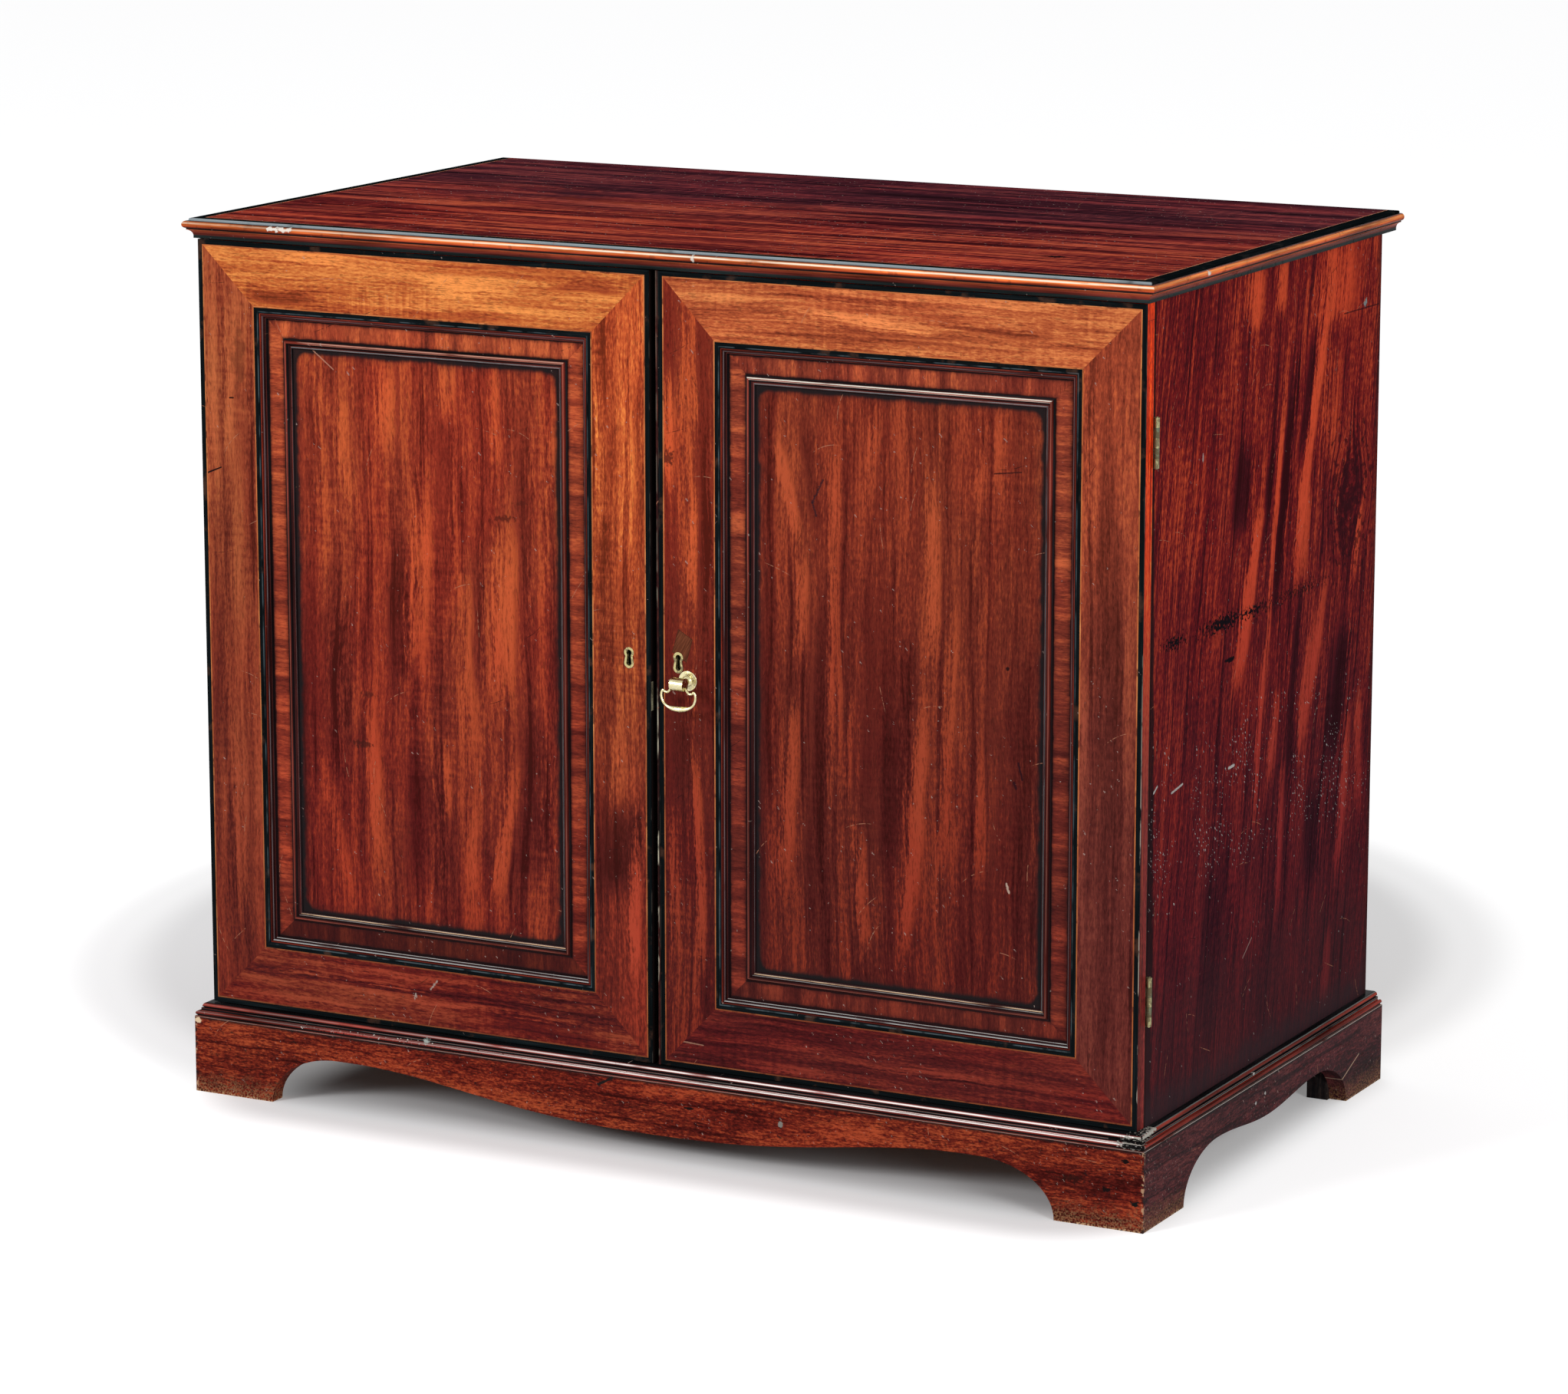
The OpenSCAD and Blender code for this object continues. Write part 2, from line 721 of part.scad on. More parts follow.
// Half of the space below the front apron: a wave to the highest part, a level stretch and
// a quarter of an ellipse down to the foot
module front_arch_half() {
    foot_in = half_w + plinth_out - foot_w;
    curve_at = foot_in - foot_curve;
    wave = [for (i = [0 : 40]) let (c = i / 40, rise = (1 - cos(180 * pow(c, apron_wave))) / 2)
        [apron_rise_at * c, apron_low + (apron_high - apron_low) * rise]];
    ellipse = [for (a = [90 : -5 : 0]) [curve_at + foot_curve * cos(a), apron_high * sin(a)]];
    polygon(concat([[0, -eps]], wave, ellipse, [[foot_in, -eps]]));
}

// Half of the space below a side apron
module side_arch_half(half) {
    curve_at = half - side_foot_w - side_curve;
    wave = [for (i = [0 : 16]) let (c = curve_at * i / 16)
        [c, side_low + (side_high - side_low) * (1 - cos(180 * i / 16)) / 2]];
    ellipse = [for (a = [85 : -5 : 0]) [curve_at + side_curve * cos(a), side_high * sin(a)]];
    polygon(concat([[0, -eps]], wave, ellipse, [[half - side_foot_w, -eps]]));
}

module plinth_front() {
    out = half_w + plinth_out;
    color(red_mahogany) from_front() difference() {
        plan(0, plinth_h) polygon([
            [-out, -plinth_out], [out, -plinth_out],
            [out - plinth_t, plinth_t - plinth_out], [-out + plinth_t, plinth_t - plinth_out]]);
        elevation(-plinth_out - eps, plinth_t + eps) both_sides() front_arch_half();
    }
}

module plinth_side() {
    out = half_w + plinth_out;
    mid = (plinth_end - plinth_out) / 2;
    difference() {
        plan(0, plinth_h) polygon([
            [out, -plinth_out], [out, plinth_end],
            [out - plinth_t, plinth_end], [out - plinth_t, plinth_t - plinth_out]]);
        translate([out - plinth_t - eps, mid, 0]) rotate([90, 0, 90]) linear_extrude(plinth_t + 2 * eps)
            both_sides() side_arch_half((plinth_end + plinth_out) / 2);
    }
}

module plinth_left() {
    color(mahogany) from_front() mirror([1, 0, 0]) plinth_side();
}

module plinth_right() {
    color(mahogany) from_front() plinth_side();
}

module plinth_back() {
    half = half_w + plinth_out - plinth_t;
    color(deal) from_front()
        box([-half, plinth_end - plinth_t, back_rail_z], [half, plinth_end, plinth_h]);
}

// Blocks glued into the corners behind the feet
module foot_blocks() {
    x = half_w + plinth_out - plinth_t;
    front = plinth_t - plinth_out;
    back = plinth_end - plinth_t;
    color(dark_wood) from_front() both_sides() {
        box([x - block_t, front, 0], [x, front + block_t, plinth_h]);
        box([x - block_t, back - rear_block, 0], [x, back, plinth_h]);
    }
}

// Countersunk screw: its head lies in the plane z = 0 and its shank runs to -Z
module screw_body(grow = 0) {
    rotate_extrude() polygon([
        [0, 0], [screw_head_r + grow, 0], [screw_r + grow, -screw_head_h],
        [screw_r + grow, -screw_len - grow], [0, -screw_len - grow]]);
}

module screw() {
    difference() {
        screw_body();
        translate([-screw_head_r - eps, -slot_w / 2, -slot_d])
            cube([2 * (screw_head_r + eps), slot_w, slot_d + eps]);
    }
}

module screw_hole() {
    screw_body(screw_fit);
    cylinder(h = eps, r = screw_head_r + screw_fit);
}

function leaf_screw_z(i) = screw_end + i * (hinge_len - 2 * screw_end) / (leaf_screws - 1);

// Screws of the right carcase leaves point to +Y, those of the door leaves to -Y
module carcase_screw_places(z) {
    for (i = [0 : leaf_screws - 1])
        translate([half_w - screw_x, carcase_leaf_y, z + leaf_screw_z(i)]) rotate([90, 0, 0]) children();
}

module door_screw_places(z) {
    for (i = [0 : leaf_screws - 1])
        translate([screw_x, door_leaf_y + leaf_t, z + leaf_screw_z(i)]) rotate([-90, 0, 0]) children();
}

// The knuckles of one leaf, with the web that joins each to the leaf. The pin stands at x = 0.
module knuckle_row(first, leaf_y, reach) {
    for (i = [first : 2 : knuckles - 1])
        translate([0, 0, i * knuckle_h + knuckle_gap / 2]) {
            cylinder(h = knuckle_h - knuckle_gap, r = knuckle_r);
            translate([0, leaf_y, 0]) cube([reach, leaf_t, knuckle_h - knuckle_gap]);
        }
}

// A leaf seen from the pin: X over the wood, Y backwards
module leaf(first, leaf_y) {
    difference() {
        union() {
            translate([pin_out, leaf_y, 0]) cube([leaf_w, leaf_t, hinge_len]);
            knuckle_row(first, leaf_y, pin_out + eps);
        }
        translate([0, 0, -eps]) cylinder(h = hinge_len + 2 * eps, r = pin_r + pin_fit);
    }
}

module hinge_carcase_leaves() {
    color(brass) from_front() both_sides() for (z = hinge_feet) difference() {
        translate([half_w + pin_out, hinge_y, z]) mirror([1, 0, 0]) leaf(0, carcase_leaf_y - hinge_y);
        carcase_screw_places(z) screw_hole();
    }
}

module hinge_pins() {
    color(brass) from_front() both_sides() for (z = hinge_feet)
        translate([half_w + pin_out, hinge_y, z - pin_tip])
            cylinder(h = hinge_len + 2 * pin_tip, r = pin_r);
}

module hinge_carcase_screws() {
    color(brass) from_front() both_sides() for (z = hinge_feet) carcase_screw_places(z) screw();
}

// Leaves of one door, in the door's own place
module door_leaves() {
    for (z = hinge_feet) difference() {
        translate([-pin_out, hinge_y, z - door_z]) leaf(1, door_leaf_y - hinge_y);
        door_screw_places(z - door_z) screw_hole();
    }
}

module door_screws() {
    for (z = hinge_feet) door_screw_places(z - door_z) screw();
}

// Section of a frame member, from its outer edge inwards. skip is the width of a bead outside it.
module frame_section(skip = 0) {
    difference() {
        square([stile_w - skip, door_t]);
        translate([-eps, -eps]) square([face_in + eps, inlay_t + eps]);
        translate([inner_line_in - skip, -eps]) square([line_w, inlay_t + eps]);
        translate([bevel_in - skip, -eps]) square([bevel_w + eps, bevel_t + eps]);
        translate([lap_in - skip, panel_y]) square([panel_lap + eps, door_t]);
    }
}

module frame_member(side, skip, at_meeting = false) {
    frame_bar(side, door_rect(0, skip), [stile_w, stile_w, door_w - stile_w, door_h - stile_w])
        frame_section(at_meeting ? skip : 0);
}

module hinge_stile(skip) {
    difference() {
        frame_member("left", skip);
        for (z = hinge_feet) {
            translate([-eps, door_leaf_y, z - door_z]) cube([leaf_w + eps, door_t, hinge_len]);
            door_screw_places(z - door_z) screw_hole();
        }
    }
}

module ebony_edging(skip) {
    frame_ring(door_rect(0, skip), edging_w) square([edging_w, inlay_t]);
}

module boxwood_lines(skip) {
    frame_ring(door_rect(line_in, skip), line_w) square([line_w, inlay_t]);
    frame_ring(door_rect(inner_line_in), line_w) square([line_w, inlay_t]);
}

module ebony_bevel() {
    frame_ring(door_rect(bevel_in), bevel_w) polygon([
        [0, 0], [bevel_flat, 0], [bevel_w, bevel_fall], [bevel_w, bevel_t], [0, bevel_t]]);
}

// A bead that stands on the panel's plane
module bead_on(x, y, r) {
    translate([x, y]) circle(r);
    translate([x - r, y]) square([2 * r, panel_y - y]);
}

module sunk_moulding() {
    bead_x = sunk_flat + sunk_bead_r;
    bead_y = bevel_fall + sunk_quirk + sunk_bead_r;
    small_x = bead_x + sunk_bead_r + sunk_small_r;
    small_y = bead_y + sunk_step + sunk_small_r;
    frame_ring(door_rect(stile_w), sunk_w) union() {
        translate([0, bevel_fall]) square([sunk_flat, panel_y - bevel_fall]);
        bead_on(bead_x, bead_y, sunk_bead_r);
        bead_on(small_x, small_y, sunk_small_r);
        translate([0, cross_y]) square([sunk_w, cross_t]);
    }
}

module crossband() {
    frame_ring(door_rect(cross_in), cross_w) translate([0, cross_y]) square([cross_w, cross_t]);
}

module panel_moulding() {
    crest_x = crest_step_w + crest_r;
    cove_x = crest_x + crest_r + raised_cove_r;
    cove_y = panel_y - raised_cove_r - (raised_bead_h - raised_bead_r / 2);
    frame_ring(door_rect(raised_in), raised_w) union() {
        translate([0, panel_y - crest_step_h]) square([crest_x, crest_step_h]);
        bead_on(crest_x, crest_y + crest_r, crest_r);
        difference() {
            translate([crest_x, cove_y]) square([cove_x - crest_x, panel_y - cove_y]);
            translate([cove_x, cove_y]) circle(raised_cove_r);
        }
        bead_on(raised_w - raised_bead_r, panel_y - raised_bead_h, raised_bead_r);
        translate([crest_x, panel_y - (raised_bead_h - raised_bead_r / 2)])
            square([raised_w - crest_x, raised_bead_h - raised_bead_r / 2]);
    }
}

module door_panel() {
    in = lap_in + panel_play;
    box([in, panel_y, in], [door_w - in, panel_y + panel_t, door_h - in]);
}

// Outline of a keyhole with two round ends and a waist
module keyhole_outline(r, waist) {
    half = key_len / 2;
    translate([0, half]) circle(r);
    translate([0, -half]) circle(r);
    polygon([
        [-waist, half], [-waist, key_waist_z], [-r, -half],
        [r, -half], [waist, key_waist_z], [waist, half]]);
}

module keyhole_cut(y0, y1) {
    translate([key_in, 0, key_z]) elevation(y0, y1) keyhole_outline(keyhole_r, keyhole_waist);
}

module ring_recess() {
    translate([key_in, 0, key_z]) elevation(-eps, ring_t) keyhole_outline(ring_r, ring_waist);
}

module escutcheon() {
    translate([key_in, 0, key_z]) elevation(-ring_out, ring_t) difference() {
        keyhole_outline(ring_r, ring_waist);
        keyhole_outline(keyhole_r, keyhole_waist);
    }
}

// Room for the lock bolt in the edge of the left door and in its strike plate
module strike_socket(depth) {
    t = lock_bolt_t / 2 + strike_fit;
    h = lock_bolt_h / 2 + strike_fit;
    box([-eps, lock_bolt_y - t, bolt_z - h], [depth, lock_bolt_y + t, bolt_z + h]);
}

module strike_outline(depth, x0 = 0) {
    box([x0, inlay_t, bolt_z - strike_h / 2], [depth, inlay_t + strike_w, bolt_z + strike_h / 2]);
}

module lock_recess() {
    box([bead_w - eps, door_t - lock_t, lock_z], [bead_w + lock_w, door_t + eps, lock_z + lock_h]);
}

module left_hinge_stile() {
    color(flame) left_door() hinge_stile(0);
}

module left_meeting_stile() {
    color(flame) left_door() difference() {
        frame_member("right", 0, true);
        from_meeting() {
            ring_recess();
            keyhole_cut(0, blind_key);
            strike_outline(strike_t, -eps);
            strike_socket(strike_depth);
        }
    }
}

module left_top_rail() {
    color(flame) left_door() frame_member("top", 0);
}

module left_bottom_rail() {
    color(flame) left_door() frame_member("bottom", 0);
}

module left_ebony_edging() {
    color(ebony) left_door() ebony_edging(0);
}

module left_boxwood_lines() {
    color(boxwood) left_door() boxwood_lines(0);
}

module left_ebony_bevel() {
    color(ebony) left_door() ebony_bevel();
}

module left_sunk_moulding() {
    color(red_mahogany) left_door() sunk_moulding();
}

module left_crossband() {
    color(mahogany) left_door() crossband();
}

module left_panel_moulding() {
    color(red_mahogany) left_door() panel_moulding();
}

module left_panel() {
    color(flame) left_door() door_panel();
}

module left_hinge_leaves() {
    color(brass) left_door() door_leaves();
}

module left_hinge_screws() {
    color(brass) left_door() door_screws();
}

module left_escutcheon() {
    color(brass) left_door() from_meeting() escutcheon();
}

module strike_plate() {
    color(brass) left_door() from_meeting() difference() {
        strike_outline(strike_t);
        strike_socket(strike_t + eps);
    }
}

// Plate and guides of one door bolt. The drawn bolt's tip is at z = 0 and the bolt hangs below it.
module bolt_plate() {
    inner_w = bar_w + 2 * bar_fit;
    outer_w = inner_w + 2 * guide_wall;
    guide_t = bar_y + bar_t / 2 + bar_fit + guide_wall;
    foot = -bar_len + plate_end;
    difference() {
        union() {
            box([-plate_w / 2, door_t, foot], [plate_w / 2, door_t + plate_t, -plate_end]);
            for (z = [foot, -plate_end - guide_len])
                box([-outer_w / 2, door_t, z], [outer_w / 2, door_t + guide_t, z + guide_len]);
        }
        box([-inner_w / 2, socket_y - bar_t / 2 - bar_fit, foot - eps],
            [inner_w / 2, socket_y + bar_t / 2 + bar_fit, -plate_end + eps]);
    }
}

module door_bolt() {
    box([-bar_w / 2, socket_y - bar_t / 2, -bar_len], [bar_w / 2, socket_y + bar_t / 2, 0]);
    translate([0, socket_y, -bar_len / 2]) rotate([-90, 0, 0])
        cylinder(h = bar_t / 2 + knob_len, r = knob_r);
}

// Places of the upper and the lower bolt on the left door
module at_upper_bolt() {
    from_front() translate([-door_gap / 2 - bar_in, 0, bar_tip_up]) children();
}

module at_lower_bolt() {
    from_front() translate([-door_gap / 2 - bar_in, 0, bar_tip_low]) mirror([0, 0, 1]) children();
}

module bolt_plates() {
    color(brass) {
        at_upper_bolt() bolt_plate();
        at_lower_bolt() bolt_plate();
    }
}

module upper_bolt() {
    color(brass) at_upper_bolt() door_bolt();
}

module lower_bolt() {
    color(brass) at_lower_bolt() door_bolt();
}

module right_hinge_stile() {
    color(flame) right_door() hinge_stile(bead_w);
}

module right_meeting_stile() {
    color(flame) right_door() difference() {
        frame_member("right", bead_w, true);
        from_meeting() {
            ring_recess();
            keyhole_cut(0, door_t);
            lock_recess();
            stem_cut();
        }
    }
}

module right_top_rail() {
    color(flame) right_door() frame_member("top", bead_w);
}

module right_bottom_rail() {
    color(flame) right_door() frame_member("bottom", bead_w);
}

module right_meeting_bead() {
    r = bead_w / 2;
    color(dark_wood) right_door() from_meeting() difference() {
        linear_extrude(door_h) union() {
            translate([0, r - bead_out]) square([bead_w, door_t - r + bead_out]);
            translate([r, r - bead_out]) circle(r);
        }
        translate([0, lock_bolt_y, bolt_z]) lock_channel(bead_w + eps);
    }
}

module right_ebony_edging() {
    color(ebony) right_door() ebony_edging(bead_w);
}

module right_boxwood_lines() {
    color(boxwood) right_door() boxwood_lines(bead_w);
}

module right_ebony_bevel() {
    color(ebony) right_door() ebony_bevel();
}

module right_sunk_moulding() {
    color(red_mahogany) right_door() sunk_moulding();
}

module right_crossband() {
    color(mahogany) right_door() crossband();
}

module right_panel_moulding() {
    color(red_mahogany) right_door() panel_moulding();
}

module right_panel() {
    color(flame) right_door() door_panel();
}

module right_hinge_leaves() {
    color(brass) right_door() door_leaves();
}

module right_hinge_screws() {
    color(brass) right_door() door_screws();
}

module right_escutcheon() {
    color(brass) right_door() from_meeting() escutcheon();
}

// Channel of the lock bolt, centred on the bolt and running in from the door's edge
module lock_channel(depth) {
    h = lock_bolt_h / 2 + lock_fit;
    t = lock_bolt_t / 2 + lock_fit;
    box([-eps, -t, -h], [depth, t, h]);
}

// Lock let into the back of the right door, with room for the bolt and for the turning key
module lock_case() {
    inner_end = bead_w + lock_w - lock_wall;
    y0 = door_t - lock_t;
    bolt_top = bolt_z + lock_bolt_h / 2;
    color(brass) right_door() from_meeting() difference() {
        box([bead_w, y0, lock_z], [bead_w + lock_w, door_t, lock_z + lock_h]);
        translate([0, lock_bolt_y, bolt_z]) lock_channel(lock_bolt_in + lock_bolt_len + lock_fit);
        box([bead_w + lock_wall, y0 + lock_wall, bolt_top + 2 * lock_wall],
            [inner_end, door_t - lock_wall, lock_z + lock_h - lock_wall]);
        keyhole_cut(y0 - eps, y0 + 2 * lock_wall);
    }
}

module lock_bolt() {
    x = lock_bolt_in;
    color(brass) right_door() from_meeting() box(
        [x, lock_bolt_y - lock_bolt_t / 2, bolt_z - lock_bolt_h / 2],
        [x + lock_bolt_len, lock_bolt_y + lock_bolt_t / 2, bolt_z + lock_bolt_h / 2]);
}

module at_handle() {
    right_door() from_meeting() translate([handle_in, 0, handle_z]) children();
}

module stem_cut() {
    translate([handle_in, -eps, handle_z]) rotate([-90, 0, 0]) cylinder(h = door_t + 2 * eps, r = stem_r);
}

// Turned rosette and neck, the barrel across the neck and the stem through the door
module handle_mount() {
    color(brass) at_handle() difference() {
        union() {
            rotate([90, 0, 0]) rotate_extrude() rosette_section();
            translate([-barrel_w / 2, -barrel_out, 0]) rotate([0, 90, 0])
                cylinder(h = barrel_w, r = barrel_r);
            rotate([-90, 0, 0]) cylinder(h = door_t + nut_t, r = stem_r);
        }
        for (side = [-1, 1])
            translate([side * (barrel_w - pivot_depth) / 2, -barrel_out, bail_pivot_z]) rotate([0, 90, 0])
                cylinder(h = pivot_depth + 2 * pivot_fit, r = pivot_r + pivot_fit, center = true);
    }
}

// Half section of the rosette: X from its axis, Y from the door outwards
module rosette_section() {
    dome_r = rosette_dome * rosette_r;
    difference() {
        union() {
            square([rosette_r - rosette_rim / 2, rosette_rim]);
            translate([rosette_r - rosette_rim / 2, rosette_rim / 2]) circle(rosette_rim / 2);
            square([rosette_step * rosette_r, rosette_step_t]);
            intersection() {
                translate([0, rosette_step_t - dome_r / 2]) circle(dome_r);
                square([rosette_r, barrel_out]);
            }
            square([neck_r, barrel_out]);
        }
        translate([-rosette_r, -eps]) square([rosette_r, barrel_out + 2 * eps]);
    }
}

module handle_nut() {
    color(brass) at_handle() translate([0, door_t, 0]) rotate([-90, 0, 0]) difference() {
        cylinder(h = nut_t, r = nut_r);
        translate([0, 0, -eps]) cylinder(h = nut_t + 2 * eps, r = stem_r);
    }
}

// Right half of the bail's centre line, from the pivot over the shoulder to the middle of the grip,
// in X outwards and Z upwards from the pivot
bail_half = [[7.6, 0], [9.2, -2.4], [11.6, -4.6], [14.4, -4.2], [16.6, -2.9], [18, -5.4], [18, -10],
             [16, -14.8], [11.8, -18.2], [6.2, -19.8], [0, -20.2]];
bail_points = concat(
    bail_half, [for (i = [len(bail_half) - 2 : -1 : 0]) [-bail_half[i][0], bail_half[i][1]]]);
bail_spans = len(bail_points) - 1;
bail_steps = 3;
bail_rings = bail_spans * bail_steps;
bail_sides = 12;

// Smooth curve through the points, with t counted in spans
function bail_at(t) =
    let (i = min(floor(t), bail_spans - 1), f = t - i,
         a = bail_points[max(i - 1, 0)], b = bail_points[i],
         c = bail_points[i + 1], d = bail_points[min(i + 2, bail_spans)])
    0.5 * (2 * b + (c - a) * f + (2 * a - 5 * b + 4 * c - d) * f * f + (3 * b - a - 3 * c + d) * f * f * f);
function bail_dir(t) =
    let (e = 0.01, v = bail_at(min(t + e, bail_spans)) - bail_at(max(t - e, 0))) v / norm(v);
// The grip lies below grip_top and swells towards its middle
grip_half = 14;
grip_top = -12;
function bail_radius(p) =
    p[1] < grip_top && abs(p[0]) < grip_half
        ? bail_r + (grip_r - bail_r) * pow(1 - pow(p[0] / grip_half, 2), 2)
        : bail_r;
function bail_ring(k) =
    let (t = k / bail_steps, p = bail_at(t), v = bail_dir(t), r = bail_radius(p))
    [for (j = [0 : bail_sides - 1]) let (a = 360 * j / bail_sides)
        [p[0] - r * cos(a) * v[1], -r * sin(a), p[1] + r * cos(a) * v[0]]];

module bail_wire() {
    n = bail_sides;
    points = [for (k = [0 : bail_rings]) each bail_ring(k)];
    walls = [for (k = [0 : bail_rings - 1], j = [0 : n - 1])
        let (a = k * n + j, b = k * n + (j + 1) % n) each [[a, a + n, b + n], [a, b + n, b]]];
    ends = [[for (j = [0 : n - 1]) j], [for (j = [n - 1 : -1 : 0]) bail_rings * n + j]];
    polyhedron(points, concat(walls, ends));
}

module handle_bail() {
    pin_from = barrel_w / 2 - pivot_depth + pivot_fit;
    color(brass) at_handle() translate([0, -barrel_out, bail_pivot_z]) {
        bail_wire();
        for (side = [0, 1]) mirror([side, 0, 0]) translate([pin_from, 0, 0]) rotate([0, 90, 0])
            cylinder(h = bail_half[0][0] + pivot_r - pin_from, r = pivot_r);
    }
}

left_side();
right_side();
bottom_board();
top_front_rail();
top_back_rail();
backboards();
shelf();
shelf_bearers();
top_board();
top_ebony_band();
top_boxwood_line();
top_edge_moulding();
under_moulding();
base_moulding();
plinth_front();
plinth_left();
plinth_right();
plinth_back();
foot_blocks();
hinge_carcase_leaves();
hinge_pins();
hinge_carcase_screws();
left_hinge_stile();
left_meeting_stile();
left_top_rail();
left_bottom_rail();
left_ebony_edging();
left_boxwood_lines();
left_ebony_bevel();
left_sunk_moulding();
left_crossband();
left_panel_moulding();
left_panel();
left_hinge_leaves();
left_hinge_screws();
left_escutcheon();
strike_plate();
bolt_plates();
upper_bolt();
lower_bolt();
right_hinge_stile();
right_meeting_stile();
right_top_rail();
right_bottom_rail();
right_meeting_bead();
right_ebony_edging();
right_boxwood_lines();
right_ebony_bevel();
right_sunk_moulding();
right_crossband();
right_panel_moulding();
right_panel();
right_hinge_leaves();
right_hinge_screws();
right_escutcheon();
lock_case();
lock_bolt();
handle_mount();
handle_nut();
handle_bail();
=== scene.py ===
import bpy
import bmesh
from math import radians
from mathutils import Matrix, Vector


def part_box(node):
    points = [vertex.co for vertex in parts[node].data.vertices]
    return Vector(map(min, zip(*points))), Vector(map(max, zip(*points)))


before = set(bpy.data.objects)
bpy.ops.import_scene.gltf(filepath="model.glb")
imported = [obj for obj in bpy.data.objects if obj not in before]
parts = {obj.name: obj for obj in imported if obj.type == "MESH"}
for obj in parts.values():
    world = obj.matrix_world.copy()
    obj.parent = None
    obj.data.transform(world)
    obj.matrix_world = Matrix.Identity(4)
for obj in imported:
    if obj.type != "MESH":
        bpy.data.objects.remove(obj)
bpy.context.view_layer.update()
print("frame loaded,", len(parts), "nodes")


class Wire:
    # A socket that takes part in sums; each sum adds its Math node
    def __init__(self, nodes, socket):
        self.nodes, self.socket = nodes, socket

    def maths(self, kind, *others, clamp=False):
        values = dict(enumerate((self,) + others))
        return self.nodes.add("ShaderNodeMath", {"operation": kind, "use_clamp": clamp}, values)

    def __add__(self, other):
        return self.maths("ADD", other)

    __radd__ = __add__

    def __mul__(self, other):
        return self.maths("MULTIPLY", other)

    __rmul__ = __mul__

    def __sub__(self, other):
        return self.maths("SUBTRACT", other)

    def __rsub__(self, other):
        return self.nodes.add("ShaderNodeMath", {"operation": "SUBTRACT"}, {0: other, 1: self})

    def __truediv__(self, other):
        return self.maths("DIVIDE", other)

    def __lt__(self, other):
        return self.maths("LESS_THAN", other)

    def __gt__(self, other):
        return self.maths("GREATER_THAN", other)

    def __abs__(self):
        return self.maths("ABSOLUTE")

    def least(self, other):
        return self.maths("MINIMUM", other)

    def most(self, other):
        return self.maths("MAXIMUM", other)

    def limited(self):
        return self.maths("ADD", 0.0, clamp=True)

    def ease(self, start, end):
        # 0 at start, 1 at end, whichever of them is higher
        return self.nodes.add(
            "ShaderNodeMapRange", {"interpolation_type": "SMOOTHSTEP"}, {0: self, 1: start, 2: end})


class Nodes:
    # An emptied node tree and the method that makes any node in it
    def __init__(self, tree):
        self.tree = tree
        tree.nodes.clear()

    def add(self, kind, settings=None, inputs=None, out=0):
        made = self.tree.nodes.new(kind)
        for key, value in (settings or {}).items():
            if key == "stops":
                self.setStops(made.color_ramp, value)
            else:
                setattr(made, key, value)
        self.plug(made, inputs or {})
        return Wire(self, made.outputs[out]) if made.outputs else made

    def plug(self, node, inputs):
        for key, value in inputs.items():
            if isinstance(value, Wire):
                self.tree.links.new(value.socket, node.inputs[key])
            else:
                node.inputs[key].default_value = value

    def setStops(self, ramp, stops):
        while len(ramp.elements) < len(stops):
            ramp.elements.new(1.0)
        for element, (position, shade) in zip(ramp.elements, stops):
            element.position = position
            colour = shade if isinstance(shade, tuple) else (shade,) * 3
            element.color = (*colour, 1.0)

    def pick(self, wire, output):
        return Wire(self, wire.socket.node.outputs[output])

    def shownTo(self, *rays):
        # 1 for the rays that are named, 0 for all others
        path = self.add("ShaderNodeLightPath", out=rays[0])
        share = path
        for ray in rays[1:]:
            share = share.most(self.pick(path, ray))
        return share


